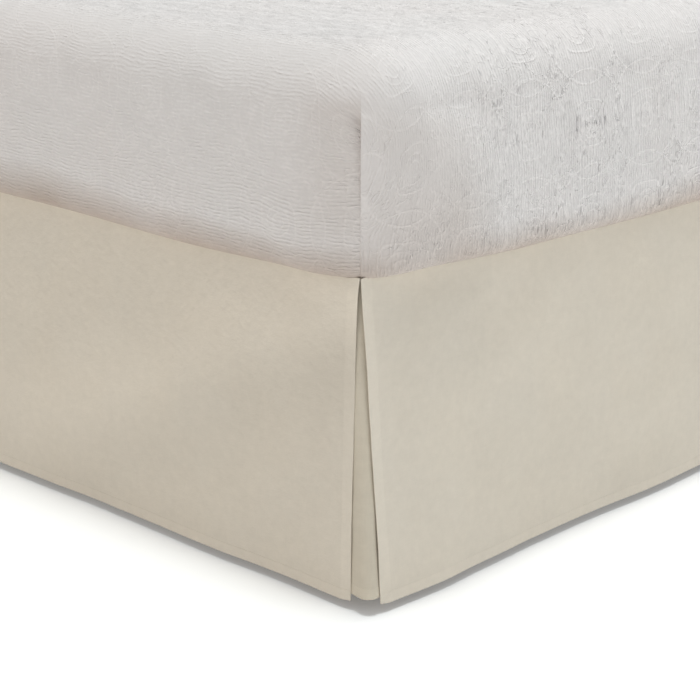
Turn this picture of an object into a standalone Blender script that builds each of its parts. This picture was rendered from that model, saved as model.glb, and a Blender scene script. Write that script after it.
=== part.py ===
"""A tailored bed skirt with split corners, hung on a plain queen bed.

The foot of the bed looks along -Y and the floor is z = 0. Each drop of the skirt is one sheet
of cloth: a grid of its outer face, given a cloth's thickness by a Solidify modifier.
"""

import bmesh
import bpy
import numpy as np

MM = 0.001

# Bed: a queen foundation on six legs, and a soft ten inch mattress
FOUNDATION_HALF_WIDTH = 0.762
FOUNDATION_HALF_LENGTH = 1.016
FOUNDATION_CORNER_RADIUS = 12 * MM
FOUNDATION_HEIGHT = 228 * MM
FOUNDATION_EDGE_BEVEL = 6 * MM
MATTRESS_HALF_WIDTH = 0.796
MATTRESS_HALF_LENGTH = 1.044
MATTRESS_CORNER_RADIUS = 90 * MM
MATTRESS_THICKNESS = 232 * MM
MATTRESS_CROWN = 12 * MM
TOP_EDGE_RADIUS = 64 * MM
BOTTOM_EDGE_RADIUS = 14 * MM
SIDE_BULGE = 3 * MM
LIP_SAG_SIDE = 6 * MM
LIP_SAG_FOOT = 3.5 * MM
CORNER_FOLD_HEIGHT = 168 * MM
CORNER_FOLD_DEPTH = 6 * MM
LEG_INSET = 80 * MM
LEG_TOP_RADIUS = 30 * MM
LEG_FOOT_RADIUS = 22 * MM
LEG_SIDES = 20

# Skirt: a fourteen inch drop that stops short of the floor
CLOTH = 1.5 * MM
SEAM_GAP = 0.3 * MM
EDGE_CLEARANCE = 2 * MM
DROP = 0.356
HEM_ABOVE_FLOOR = 10 * MM
HEM_HEIGHT = 12 * MM
HEM_THICKNESS = 2.3 * MM
SIDE_FLARE = 22 * MM
FOOT_FLARE = 5 * MM
INSERT_WING = 92 * MM
INSERT_SHORTER_BY = 9 * MM
INSERT_CORNER_RADIUS = 10 * MM
INSERT_SIDE_SWING = 10.5 * MM
INSERT_FOOT_SWING = 1 * MM
SPLIT_OF_SIDE_PANEL = 13 * MM
FOOT_EDGE_SHORT_AT_TOP = 4 * MM
FOOT_EDGE_SHORT_AT_HEM = 9 * MM

# Heights that follow from the sizes above
DECK_TOP = HEM_ABOVE_FLOOR + DROP
DECK_BOTTOM = DECK_TOP - CLOTH
FOUNDATION_TOP = DECK_BOTTOM - SEAM_GAP
FOUNDATION_BOTTOM = FOUNDATION_TOP - FOUNDATION_HEIGHT
MATTRESS_BOTTOM = DECK_TOP + SEAM_GAP

# How far each outer face stands off the foundation's side at the top edge
INSERT_TOP_OUT = EDGE_CLEARANCE + CLOTH
PANEL_TOP_OUT = EDGE_CLEARANCE + CLOTH
PLEAT_STACK = CLOTH + SEAM_GAP
STACK_FADE = 90 * MM

# How high on a drop the rows of its grid lie, as shares of the drop from the top edge
DROP_ROWS = (0.0, 0.13, 0.28, 0.43, 0.58, 0.72, 0.85)

# Columns of the drops' and inserts' grids
SIDE_COLUMNS = 60
FOOT_COLUMNS = 46
WING_COLUMNS = 8
BEND_COLUMNS = 9

# Soft folds of the drops: distance from the foot corner, half width, depth at the top edge,
# depth at the hem, and how far the fold leans along the drop from top to hem (metres)
FOLD_COLUMNS = ("place", "half_width", "top_depth", "hem_depth", "lean")
RIGHT_SIDE_FOLDS = (
    (0.010, 0.040, 0.0, -0.0016, 0.0),
    (0.105, 0.050, 0.0, 0.0030, 0.010),
    (0.330, 0.090, 0.0012, -0.0024, 0.060),
    (0.510, 0.080, 0.0, 0.0026, -0.030),
    (0.800, 0.110, 0.0010, -0.0030, 0.050),
    (1.060, 0.090, 0.0, 0.0036, -0.040),
    (1.350, 0.120, 0.0008, -0.0030, 0.030),
    (1.640, 0.090, 0.0, 0.0034, -0.050),
    (1.880, 0.080, 0.0, -0.0020, 0.020),
)
LEFT_SIDE_FOLDS = (
    (0.090, 0.055, 0.0, 0.0036, 0.015),
    (0.280, 0.080, 0.0010, -0.0022, -0.040),
    (0.560, 0.100, 0.0, 0.0034, 0.060),
    (0.880, 0.090, 0.0008, -0.0030, -0.030),
    (1.180, 0.110, 0.0, 0.0032, 0.040),
    (1.500, 0.100, 0.0010, -0.0026, -0.050),
    (1.790, 0.080, 0.0, 0.0028, 0.020),
)
FOOT_FOLDS = (
    (0.090, 0.060, 0.0, -0.0022, 0.030),
    (0.240, 0.070, 0.0008, 0.0024, 0.120),
    (0.430, 0.100, 0.0, -0.0020, 0.160),
    (0.640, 0.090, 0.0006, 0.0026, 0.060),
    (0.880, 0.100, 0.0, -0.0024, -0.070),
    (1.120, 0.090, 0.0008, 0.0028, -0.110),
    (1.330, 0.070, 0.0, -0.0020, -0.040),
)

# Lower lip of the mattress: inset from the side, and share of the lip's sag below its underside
LIP_COLUMNS = ("inset", "sag_share")
LIP_PROFILE = ((0.005, 0.60), (0.011, 1.0), (0.016, 0.85), (0.0195, 0.25), (0.022, 0.0))

# Stations of the mattress rim around one corner: arc distance from the corner's middle, from
# the end of the bed to its side; the fold's groove lies on the negative side
CORNER_STATIONS = (-0.105, -0.070, -0.045, -0.026, -0.012, -0.004, 0.0, 0.010, 0.026, 0.048, 0.075, 0.105)
CORNER_REACH = CORNER_STATIONS[-1]
RIM_STEPS = 11
GROOVE_WIDTH = 16 * MM
GROOVE_FADE = 25 * MM
SAG_STARTS = 80 * MM
SAG_FULL = 260 * MM
TOP_TURNS = (90.0, 68.0, 45.0, 22.0)
SIDE_ROWS = 4
CROWN_RINGS = (0.45, 0.8)
ROUND_SEGMENTS = 5
SHARP_ANGLE = 40.0


# The mattress rim in plan, counter-clockwise from the foot end of its right side: half the
# straights, the arc of a corner, the straights in turn, and the whole way round
RIM_INNER_X = MATTRESS_HALF_WIDTH - MATTRESS_CORNER_RADIUS
RIM_INNER_Y = MATTRESS_HALF_LENGTH - MATTRESS_CORNER_RADIUS
RIM_ARC = 0.5 * np.pi * MATTRESS_CORNER_RADIUS
RIM_STRAIGHTS = (2.0 * RIM_INNER_Y, 2.0 * RIM_INNER_X, 2.0 * RIM_INNER_Y, 2.0 * RIM_INNER_X)
RIM_LENGTH = sum(RIM_STRAIGHTS) + 4.0 * RIM_ARC

# Corners, by number, that the way round reaches from an end of the bed and not from a side
END_BEFORE_SIDE = (1, 3)


def clear_scene():
    """Empty the scene of every object."""
    for old in list(bpy.data.objects):
        bpy.data.objects.remove(old, do_unlink=True)


def finish_of(name, colour, roughness):
    """A Principled material with the piece's plain colour."""
    material = bpy.data.materials.new(name)
    material.use_nodes = True
    shader = material.node_tree.nodes["Principled BSDF"]
    shader.inputs["Base Color"].default_value = (*colour, 1.0)
    shader.inputs["Roughness"].default_value = roughness
    shader.inputs["Metallic"].default_value = 0.0
    return material


def add_object(name, mesh, material):
    """Link a mesh as a smooth-shaded object of its own."""
    mesh.materials.append(material)
    mesh.shade_smooth()
    piece = bpy.data.objects.new(name, mesh)
    bpy.context.collection.objects.link(piece)
    return piece


def smooth_step(low, high, value):
    """0 below low, 1 above high, and a smooth cubic between."""
    share = np.clip((value - low) / (high - low), 0.0, 1.0)
    return share * share * (3.0 - 2.0 * share)


def grid_mesh(name, points, flip=False):
    """A mesh of quads over a grid of points of shape (rows, columns, 3)."""
    rows, columns = points.shape[:2]
    index = np.arange(rows * columns).reshape(rows, columns)
    corners = [index[:-1, :-1], index[1:, :-1], index[1:, 1:], index[:-1, 1:]]
    if flip:
        corners.reverse()
    faces = np.stack(corners, axis=-1).reshape(-1, 4)
    mesh = bpy.data.meshes.new(name)
    mesh.from_pydata(points.reshape(-1, 3).tolist(), [], faces.tolist())
    return mesh


def thicken(piece, thickness, weights):
    """Solidify a sheet inwards from its outer face; weights are shares of the thickness."""
    group = piece.vertex_groups.new(name="cloth")
    for vertex, weight in enumerate(weights):
        group.add([vertex], float(weight), "REPLACE")
    solid = piece.modifiers.new("Cloth thickness", "SOLIDIFY")
    solid.thickness = thickness
    solid.offset = -1.0
    solid.vertex_group = group.name


def drop_rows(height):
    """Row positions of a sheet as shares of its height, with two rows for the hem's step."""
    hem_line = 1.0 - HEM_HEIGHT / height
    return np.array([*DROP_ROWS, hem_line - 0.006, hem_line + 0.004, 1.0])


def hem_weights(rows, columns):
    """Share of the hem's thickness at each point: full on the hem's two lowest rows."""
    shares = np.full(rows, CLOTH / HEM_THICKNESS)
    shares[-2:] = 1.0
    return np.repeat(shares, columns)


def soft_folds(table, along, down):
    """Sum of leaning Gaussian folds, in metres outwards, at distances along and shares down."""
    depth = np.zeros_like(along * down)
    for row in table:
        fold = dict(zip(FOLD_COLUMNS, row))
        middle = fold["place"] + fold["lean"] * (down - 1.0)
        shape = np.exp(-(((along - middle) / fold["half_width"]) ** 2))
        depth = depth + shape * (fold["top_depth"] * (1.0 - down) + fold["hem_depth"] * down)
    return depth


def drop_panel(name, material, frame, columns, start, end, flare, folds, stacked_ends, flip):
    """One drop: a grid of its outer face, flaring down to the hem, thickened inwards.

    frame holds the corner the distances run from, the direction along the face and the outward
    direction. start and end are functions of the share down the drop, in metres from the corner.
    """
    corner, direction, outward = (np.array(vector) for vector in frame)
    down = drop_rows(DROP)[:, None]
    share = np.linspace(0.0, 1.0, columns)[None, :]
    along = start(down) + (end(down) - start(down)) * share
    stack = np.zeros_like(along)
    for place in stacked_ends:
        beyond = abs(along - place) - INSERT_WING
        stack = np.maximum(stack, 1.0 - smooth_step(0.1 * STACK_FADE, STACK_FADE, beyond))
    out = PANEL_TOP_OUT + PLEAT_STACK * stack + flare * down + soft_folds(folds, along, down)
    height = DECK_TOP - DROP * down
    points = corner + along[..., None] * direction + out[..., None] * outward
    points[..., 2] = height
    panel = add_object(name, grid_mesh(name, points, flip), material)
    thicken(panel, HEM_THICKNESS, hem_weights(len(down), columns))
    return panel


def foot_panel(material):
    """The drop across the foot; its two free edges hang plumb, short of the corners."""
    width = 2.0 * FOUNDATION_HALF_WIDTH
    reach = EDGE_CLEARANCE + CLOTH - FOOT_EDGE_SHORT_AT_TOP
    slant = FOOT_EDGE_SHORT_AT_HEM - FOOT_EDGE_SHORT_AT_TOP
    return drop_panel(
        "skirt_foot_panel",
        material,
        ((FOUNDATION_HALF_WIDTH, -FOUNDATION_HALF_LENGTH, 0.0), (-1.0, 0.0, 0.0), (0.0, -1.0, 0.0)),
        FOOT_COLUMNS,
        lambda down: -reach + slant * down,
        lambda down: width + reach - slant * down,
        FOOT_FLARE,
        FOOT_FOLDS,
        (0.0, width),
        True,
    )


def side_panel(name, side, folds, material):
    """A long drop; its foot edge swings open towards the hem and its head edge hangs plumb."""
    reach = PANEL_TOP_OUT + PLEAT_STACK
    return drop_panel(
        name,
        material,
        ((side * FOUNDATION_HALF_WIDTH, -FOUNDATION_HALF_LENGTH, 0.0), (0.0, 1.0, 0.0), (side, 0.0, 0.0)),
        SIDE_COLUMNS,
        lambda down: -reach + SPLIT_OF_SIDE_PANEL * down,
        lambda down: 2.0 * FOUNDATION_HALF_LENGTH + 0.0 * down,
        SIDE_FLARE,
        folds,
        (0.0,),
        side > 0,
    )


def corner_insert(name, side, material):
    """The pleat piece behind a split corner: two wings joined by a round bend.

    At the top it lies round the foundation's corner; at the hem the bend has swung out between
    the two drops and its wings follow them at a distance.
    """
    height = DROP - INSERT_SHORTER_BY
    down = drop_rows(height)[:, None]
    radius_top = FOUNDATION_CORNER_RADIUS + INSERT_TOP_OUT
    radius = radius_top + (INSERT_CORNER_RADIUS - radius_top) * down
    side_out = INSERT_TOP_OUT + INSERT_SIDE_SWING * down
    foot_out = INSERT_TOP_OUT + INSERT_FOOT_SWING * down
    turn = np.linspace(0.0, 0.5 * np.pi, BEND_COLUMNS)[None, :]
    wing = np.linspace(INSERT_WING, 0.0, WING_COLUMNS, endpoint=False)[None, :]
    centre_x = FOUNDATION_HALF_WIDTH + side_out - radius
    centre_y = -(FOUNDATION_HALF_LENGTH + foot_out - radius)
    bend_x = centre_x + radius * np.sin(turn)
    bend_y = centre_y - radius * np.cos(turn)
    foot_x = centre_x - wing
    foot_y = centre_y - radius + 0.0 * wing
    side_x = centre_x + radius + 0.0 * wing[:, ::-1]
    side_y = centre_y + wing[:, ::-1]
    across = np.concatenate([foot_x, bend_x, side_x], axis=1)
    lengthwise = np.concatenate([foot_y, bend_y, side_y], axis=1)
    points = np.stack([side * across, lengthwise, DECK_TOP - height * down + 0.0 * across], axis=-1)
    insert = add_object(name, grid_mesh(name, points, side < 0), material)
    thicken(insert, CLOTH, np.ones(points.shape[0] * points.shape[1]))
    return insert


def rounded_rectangle(half_width, half_length, radius):
    """Plan outline of a rectangle with round corners, counter-clockwise, as an (n, 2) array."""
    turn = np.linspace(0.0, 0.5 * np.pi, ROUND_SEGMENTS + 1)
    outline = []
    for quarter, (sign_x, sign_y) in enumerate(((1, 1), (-1, 1), (-1, -1), (1, -1))):
        angle = turn + quarter * 0.5 * np.pi
        centre = np.array([sign_x * (half_width - radius), sign_y * (half_length - radius)])
        outline.append(centre + radius * np.stack([np.cos(angle), np.sin(angle)], axis=1))
    return np.concatenate(outline)


def slab(name, outline, bottom, top, material, bevel=0.0):
    """A flat slab: a plan outline extruded from its underside up."""
    shape = bmesh.new()
    ring = [shape.verts.new((x, y, bottom)) for x, y in outline]
    base = shape.faces.new(ring)
    raised = bmesh.ops.extrude_face_region(shape, geom=[base])["geom"]
    lifted = [item for item in raised if isinstance(item, bmesh.types.BMVert)]
    bmesh.ops.translate(shape, vec=(0.0, 0.0, top - bottom), verts=lifted)
    bmesh.ops.recalc_face_normals(shape, faces=shape.faces)
    if bevel:
        flat = [edge for edge in shape.edges if abs(edge.verts[0].co.z - edge.verts[1].co.z) < 1e-6]
        bmesh.ops.bevel(shape, geom=flat, offset=bevel, segments=2, affect="EDGES", profile=0.5)
    mesh = bpy.data.meshes.new(name)
    shape.to_mesh(mesh)
    shape.free()
    piece = add_object(name, mesh, material)
    mesh.set_sharp_from_angle(angle=np.radians(SHARP_ANGLE))
    return piece


def skirt_deck(material):
    """The flat sheet between mattress and foundation, up to the seam with the drops."""
    grow = EDGE_CLEARANCE - SEAM_GAP
    outline = rounded_rectangle(
        FOUNDATION_HALF_WIDTH + grow, FOUNDATION_HALF_LENGTH + grow, FOUNDATION_CORNER_RADIUS + grow
    )
    outline[:, 1] = np.minimum(outline[:, 1], FOUNDATION_HALF_LENGTH)
    keep = np.ones(len(outline), dtype=bool)
    keep[1:] = np.linalg.norm(np.diff(outline, axis=0), axis=1) > 1e-6
    return slab("skirt_deck", outline[keep], DECK_BOTTOM, DECK_TOP, material)


def foundation(material):
    """The plain upholstered box under the deck."""
    outline = rounded_rectangle(FOUNDATION_HALF_WIDTH, FOUNDATION_HALF_LENGTH, FOUNDATION_CORNER_RADIUS)
    return slab("foundation", outline, FOUNDATION_BOTTOM, FOUNDATION_TOP, material, FOUNDATION_EDGE_BEVEL)


def legs(material):
    """Six turned legs: two rows of three, set in from the foundation's sides."""
    across = FOUNDATION_HALF_WIDTH - LEG_INSET
    lengthwise = FOUNDATION_HALF_LENGTH - LEG_INSET
    places = [(x, y) for y in (-lengthwise, 0.0, lengthwise) for x in (-across, across)]
    height = FOUNDATION_BOTTOM - SEAM_GAP
    for number, (x, y) in enumerate(places, start=1):
        name = f"leg_{number:02d}"
        shape = bmesh.new()
        bmesh.ops.create_cone(
            shape,
            cap_ends=True,
            segments=LEG_SIDES,
            radius1=LEG_FOOT_RADIUS,
            radius2=LEG_TOP_RADIUS,
            depth=height,
        )
        foot_rim = [edge for edge in shape.edges if all(vert.co.z < 0.0 for vert in edge.verts)]
        bmesh.ops.bevel(shape, geom=foot_rim, offset=2 * MM, segments=1, affect="EDGES")
        mesh = bpy.data.meshes.new(name)
        shape.to_mesh(mesh)
        shape.free()
        leg = add_object(name, mesh, material)
        mesh.set_sharp_from_angle(angle=np.radians(SHARP_ANGLE))
        leg.location = (x, y, 0.5 * height)


def rim_stations():
    """Distances round the mattress rim, and those of its four corners' middles.

    Each corner has the stations of its fold; the straights between are cut into even steps.
    """
    corners = np.cumsum(RIM_STRAIGHTS) + RIM_ARC * (np.arange(4) + 0.5)
    stations = []
    for number, corner in enumerate(corners):
        end_first = number in END_BEFORE_SIDE
        near = np.sort(corner + (1.0 if end_first else -1.0) * np.array(CORNER_STATIONS))
        following = corner + RIM_STRAIGHTS[(number + 1) % 4] + RIM_ARC
        between = np.linspace(near[-1], following - CORNER_REACH, RIM_STEPS)[1:-1]
        stations.append(np.concatenate([near, between]))
    return np.concatenate(stations), corners


def rim_place(distance, inset):
    """Plan point at a distance round the mattress, drawn in by an inset, and its outward normal."""
    radius = MATTRESS_CORNER_RADIUS - inset
    travelled = np.mod(distance, RIM_LENGTH)
    place = np.zeros((len(travelled), 2))
    normal = np.zeros((len(travelled), 2))
    centres = np.array([(1, -1), (1, 1), (-1, 1), (-1, -1)]) * (RIM_INNER_X, RIM_INNER_Y)
    begin = 0.0
    for quarter, straight in enumerate(RIM_STRAIGHTS):
        heading = 0.5 * np.pi * quarter
        out = np.array([np.cos(heading), np.sin(heading)])
        forward = np.array([-np.sin(heading), np.cos(heading)])
        on = (travelled >= begin) & (travelled < begin + straight)
        place[on] = centres[quarter] + radius * out + (travelled[on] - begin)[:, None] * forward
        normal[on] = out
        begin += straight
        on = (travelled >= begin) & (travelled < begin + RIM_ARC)
        turned = heading + (travelled[on] - begin) / MATTRESS_CORNER_RADIUS
        direction = np.stack([np.cos(turned), np.sin(turned)], axis=1)
        place[on] = centres[(quarter + 1) % 4] + radius * direction
        normal[on] = direction
        begin += RIM_ARC
    return place, normal


def mattress_profile():
    """Rows from the top rim down the side and under the lip: inset and height of each."""
    turn = np.radians(np.array(TOP_TURNS))
    top_inset = TOP_EDGE_RADIUS * (1.0 - np.cos(turn))
    top_height = MATTRESS_THICKNESS - TOP_EDGE_RADIUS * (1.0 - np.sin(turn))
    side_height = np.linspace(MATTRESS_THICKNESS - TOP_EDGE_RADIUS, BOTTOM_EDGE_RADIUS, SIDE_ROWS)
    side_inset = -SIDE_BULGE * np.sin(np.pi * (side_height - BOTTOM_EDGE_RADIUS) / side_height[0])
    return np.concatenate([top_inset, side_inset]), np.concatenate([top_height, side_height])


def mattress(material):
    """The mattress: rings round its rim, a crowned top, a sagging lip and folded corners."""
    distance, corners = rim_stations()
    half_way = 0.5 * RIM_LENGTH
    from_corner = (distance[:, None] - corners[None, :] + half_way) % RIM_LENGTH - half_way
    nearest = np.argmin(abs(from_corner), axis=1)
    signed = from_corner[np.arange(len(distance)), nearest]
    signed = signed * np.where(np.isin(nearest, END_BEFORE_SIDE), 1.0, -1.0)
    groove = np.where(signed < -0.5 * MM, np.exp(-((signed / GROOVE_WIDTH) ** 2)), 0.0)
    rows = []
    inset_rows, height_rows = mattress_profile()
    for inset, height in zip(inset_rows, height_rows):
        place, normal = rim_place(distance, inset)
        folded = 1.0 - smooth_step(CORNER_FOLD_HEIGHT - GROOVE_FADE, CORNER_FOLD_HEIGHT, height)
        place = place - normal * (CORNER_FOLD_DEPTH * folded * groove)[:, None]
        rows.append(np.column_stack([place, np.full(len(place), MATTRESS_BOTTOM + height)]))
    away = smooth_step(SAG_STARTS, SAG_FULL, abs(signed))
    _, normal = rim_place(distance, 0.0)
    sag = away * (LIP_SAG_SIDE * abs(normal[:, 0]) + LIP_SAG_FOOT * abs(normal[:, 1]))
    for row in LIP_PROFILE:
        lip = dict(zip(LIP_COLUMNS, row))
        place, normal = rim_place(distance, lip["inset"])
        place = place - normal * (CORNER_FOLD_DEPTH * groove)[:, None]
        lift = BOTTOM_EDGE_RADIUS * max(0.0, 1.0 - lip["inset"] / BOTTOM_EDGE_RADIUS) ** 2
        rows.append(np.column_stack([place, MATTRESS_BOTTOM + lift - sag * lip["sag_share"]]))
    top_rings = []
    for share in CROWN_RINGS:
        ring = rows[0] * np.array([share, share, 1.0])
        ring[:, 2] = rows[0][:, 2] + MATTRESS_CROWN * (1.0 - share**2)
        top_rings.append(ring)
    grid = np.stack([*top_rings, *rows])
    mesh = closed_rings("mattress", grid, MATTRESS_BOTTOM + MATTRESS_THICKNESS + MATTRESS_CROWN)
    return add_object("mattress", mesh, material)


def closed_rings(name, grid, peak):
    """A closed mesh of stacked rings, with a fan to a peak on top and one flat face below."""
    rings, count = grid.shape[:2]
    index = np.arange(rings * count).reshape(rings, count)
    after = np.roll(index, -1, axis=1)
    quads = np.stack([index[:-1], index[1:], after[1:], after[:-1]], axis=-1).reshape(-1, 4)
    points = [*grid.reshape(-1, 3).tolist(), [0.0, 0.0, peak]]
    centre = rings * count
    fan = [(centre, int(index[0, i]), int(after[0, i])) for i in range(count)]
    base = [int(i) for i in index[-1][::-1]]
    mesh = bpy.data.meshes.new(name)
    mesh.from_pydata(points, [], [*quads.tolist(), *fan, base])
    return mesh


def main():
    """Build the bed and hang the skirt on it."""
    clear_scene()
    poplin = finish_of("ivory poplin", (0.56, 0.51, 0.42), 0.85)
    cover = finish_of("white puckered cover", (0.76, 0.74, 0.72), 0.9)
    ticking = finish_of("plain ticking", (0.62, 0.60, 0.56), 0.9)
    wood = finish_of("plain beech", (0.42, 0.28, 0.16), 0.5)
    legs(wood)
    foundation(ticking)
    skirt_deck(poplin)
    corner_insert("skirt_corner_insert_right", 1, poplin)
    corner_insert("skirt_corner_insert_left", -1, poplin)
    foot_panel(poplin)
    side_panel("skirt_side_panel_right", 1, RIGHT_SIDE_FOLDS, poplin)
    side_panel("skirt_side_panel_left", -1, LEFT_SIDE_FOLDS, poplin)
    mattress(cover)


main()
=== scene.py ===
"""Looks of a tailored bed skirt with split corners, hung on a plain queen bed.

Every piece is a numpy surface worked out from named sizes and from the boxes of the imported
frame. UV maps hold the flat cloth in metres, so weaves and seams keep their real scale.
"""

import bpy
import numpy as np
from mathutils import Matrix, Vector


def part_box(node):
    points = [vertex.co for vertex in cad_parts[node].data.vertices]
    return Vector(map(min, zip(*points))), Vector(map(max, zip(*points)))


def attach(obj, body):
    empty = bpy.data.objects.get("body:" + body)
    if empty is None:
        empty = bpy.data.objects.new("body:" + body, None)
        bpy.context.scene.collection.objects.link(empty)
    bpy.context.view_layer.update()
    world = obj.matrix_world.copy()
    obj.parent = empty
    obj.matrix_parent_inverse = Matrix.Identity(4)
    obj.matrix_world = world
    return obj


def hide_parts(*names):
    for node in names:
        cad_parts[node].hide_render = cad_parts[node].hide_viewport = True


bl_info = {
    "name": "Tailored Bed Skirt",
    "version": (1, 0, 0),
    "blender": (4, 5, 0),
    "location": "View3D > Sidebar > Bed Skirt",
    "description": "Dresses a queen bed in an ivory skirt with split corners and a puckered white cover",
    "category": "Add Mesh",
}

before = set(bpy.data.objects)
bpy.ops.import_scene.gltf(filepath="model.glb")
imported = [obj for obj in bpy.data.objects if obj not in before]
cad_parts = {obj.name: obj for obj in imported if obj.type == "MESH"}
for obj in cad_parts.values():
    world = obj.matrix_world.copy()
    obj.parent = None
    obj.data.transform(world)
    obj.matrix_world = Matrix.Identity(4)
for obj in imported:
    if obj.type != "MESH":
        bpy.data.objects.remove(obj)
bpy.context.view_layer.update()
BODY = "root"
MM = 0.001


def node_box(node):
    """Lowest and highest corners of a CAD node as two arrays."""
    low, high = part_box(node)
    return np.array(low), np.array(high)


FOUNDATION_LOW, FOUNDATION_HIGH = node_box("foundation")
DECK_LOW, DECK_HIGH = node_box("skirt_deck")
MATTRESS_HIGH = node_box("mattress")[1]
HALF_WIDTH = FOUNDATION_HIGH[0]
HALF_LENGTH = FOUNDATION_HIGH[1]
DECK_TOP = DECK_HIGH[2]
HEM_FLOOR_GAP = 10 * MM
DROP = DECK_TOP - HEM_FLOOR_GAP
MATTRESS_BASE = DECK_TOP + 0.3 * MM
LEG_NODES = tuple(sorted(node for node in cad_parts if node.startswith("leg_")))

# Skirt: how far its outer faces stand off the foundation's sides at the top edge
INSERT_OUT = 3.5 * MM
DROP_OUT = 3.5 * MM
PLEAT_STACK = 1.8 * MM
STACK_FADE = 90 * MM
INSERT_WING = 92 * MM
INSERT_SIDE_SWING = 16.5 * MM
INSERT_FOOT_SWING = 3.2 * MM
INSERT_BEND_TOP = 15.5 * MM
INSERT_BEND_HEM = 10 * MM
INSERT_SHORTER_BY = 9 * MM
SPLIT_AT_HEM = 13 * MM
FOOT_EDGE_SHORT_AT_TOP = 4 * MM
FOOT_EDGE_SHORT_AT_HEM = 9 * MM
SPLIT_CLOSED_AT_TOP = 3.9 * MM
CORNER_RISE = 2.6 * MM

# Leaning soft folds: distance from the foot corner, half width, depth at the top edge, depth
# at the hem, and how far the fold leans along the drop from top to hem (metres)
FOLD_COLUMNS = ("place", "half_width", "top_depth", "hem_depth", "lean")
RIGHT_SIDE_FOLDS = (
    (0.010, 0.040, 0.0, -0.0016, 0.0),
    (0.105, 0.050, 0.0, 0.0030, 0.010),
    (0.330, 0.090, 0.0012, -0.0024, 0.060),
    (0.510, 0.080, 0.0, 0.0026, -0.030),
    (0.800, 0.110, 0.0010, -0.0030, 0.050),
    (1.060, 0.090, 0.0, 0.0036, -0.040),
    (1.350, 0.120, 0.0008, -0.0030, 0.030),
    (1.640, 0.090, 0.0, 0.0034, -0.050),
    (1.880, 0.080, 0.0, -0.0020, 0.020),
)
LEFT_SIDE_FOLDS = (
    (0.090, 0.055, 0.0, 0.0036, 0.015),
    (0.280, 0.080, 0.0010, -0.0022, -0.040),
    (0.560, 0.100, 0.0, 0.0034, 0.060),
    (0.880, 0.090, 0.0008, -0.0030, -0.030),
    (1.180, 0.110, 0.0, 0.0032, 0.040),
    (1.500, 0.100, 0.0010, -0.0026, -0.050),
    (1.790, 0.080, 0.0, 0.0028, 0.020),
)
FOOT_FOLDS = (
    (0.090, 0.060, 0.0, -0.0022, 0.030),
    (0.240, 0.070, 0.0008, 0.0024, 0.120),
    (0.430, 0.100, 0.0, -0.0020, 0.160),
    (0.640, 0.090, 0.0006, 0.0026, 0.060),
    (0.880, 0.100, 0.0, -0.0024, -0.070),
    (1.120, 0.090, 0.0008, 0.0028, -0.110),
    (1.330, 0.070, 0.0, -0.0020, -0.040),
)

# Soft ridges (or troughs) laid in the drops: from and to as distance from the foot
# corner and height over the hem, half width and depth (metres)
RIDGE_COLUMNS = ("from_along", "from_height", "to_along", "to_height", "half_width", "depth")
FOOT_RIDGES = (
    (-0.130, 0.360, 0.560, 0.030, 0.060, 0.0034),
    (-0.100, 0.290, 0.560, -0.010, 0.110, 0.0028),
    (-0.080, 0.330, 0.260, 0.215, 0.050, 0.0024),
    (0.540, 0.330, 0.790, 0.060, 0.060, 0.0012),
    (0.900, 0.330, 1.150, 0.080, 0.060, -0.0016),
    (1.480, 0.335, 1.120, 0.120, 0.050, 0.0022),
    (0.620, 0.250, 0.700, 0.020, 0.040, -0.0014),
)
RIGHT_RIDGES = (
    (0.200, 0.150, 0.720, 0.235, 0.110, 0.0034),
    (0.040, 0.335, 0.190, 0.335, 0.050, 0.0030),
    (0.400, 0.065, 0.560, 0.055, 0.045, 0.0014),
    (0.700, 0.330, 1.050, 0.060, 0.060, 0.0020),
    (1.250, 0.320, 0.950, 0.080, 0.060, -0.0016),
    (1.400, 0.330, 1.750, 0.100, 0.055, 0.0020),
)
LEFT_RIDGES = (
    (0.050, 0.330, 0.420, 0.110, 0.050, 0.0022),
    (0.520, 0.300, 0.300, 0.050, 0.050, -0.0016),
    (0.800, 0.330, 1.150, 0.080, 0.060, 0.0020),
    (1.550, 0.320, 1.250, 0.060, 0.060, 0.0018),
    (1.820, 0.300, 1.650, 0.100, 0.050, -0.0014),
)

# Mattress cover: lip below its side, as inset from the side and share of the lip's sag
LIP_PROFILE = (
    (0.0022, 0.30),
    (0.0050, 0.60),
    (0.0080, 0.85),
    (0.0110, 1.0),
    (0.0138, 0.96),
    (0.0160, 0.85),
    (0.0180, 0.55),
    (0.0195, 0.25),
    (0.0220, 0.0),
)
CORNER_RADIUS = 90 * MM
TOP_EDGE_RADIUS = 64 * MM
BOTTOM_EDGE_RADIUS = 14 * MM
SIDE_BULGE = 4 * MM
# Angle in degrees at which the rounded top edge passes into the side
EDGE_TURNS_TO = 5.0
# How far the long sides lean in at the top, away from the corners
LEAN = 15 * MM
# The folded corner: its place, the widths of dip and lap, and the round that ends it
FOLD_OFF_CORNER = 5.4 * MM
FOLD_DIP_WIDTH = 19 * MM
FOLD_LAP = 1.2 * MM
FOLD_LAP_WIDTH = 11 * MM
FOLD_ARCH = 8 * MM
FOLD_ARCH_WIDTH = 14 * MM
FOLD_PUFF = 1.2 * MM
FOLD_PUFF_WIDTH = 30 * MM
# How the cover is drawn up beside the corners of the long sides
CORNER_LIFT = 3.0 * MM
CORNER_LIFT_AT = 62 * MM
CORNER_LIFT_WIDTH = 42 * MM
CORNER_TIGHT_WIDTH = 60 * MM
CORNER_TUCK = 1.6 * MM
LIP_SAG_SIDE = 6 * MM
LIP_SAG_SIDE_FAR = 9 * MM
LIP_SAG_FOOT = 3.5 * MM
SAG_STARTS = 80 * MM
SAG_FULL = 260 * MM
SAG_CHANGES_TO = 480 * MM
CROWN = 12 * MM
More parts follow.
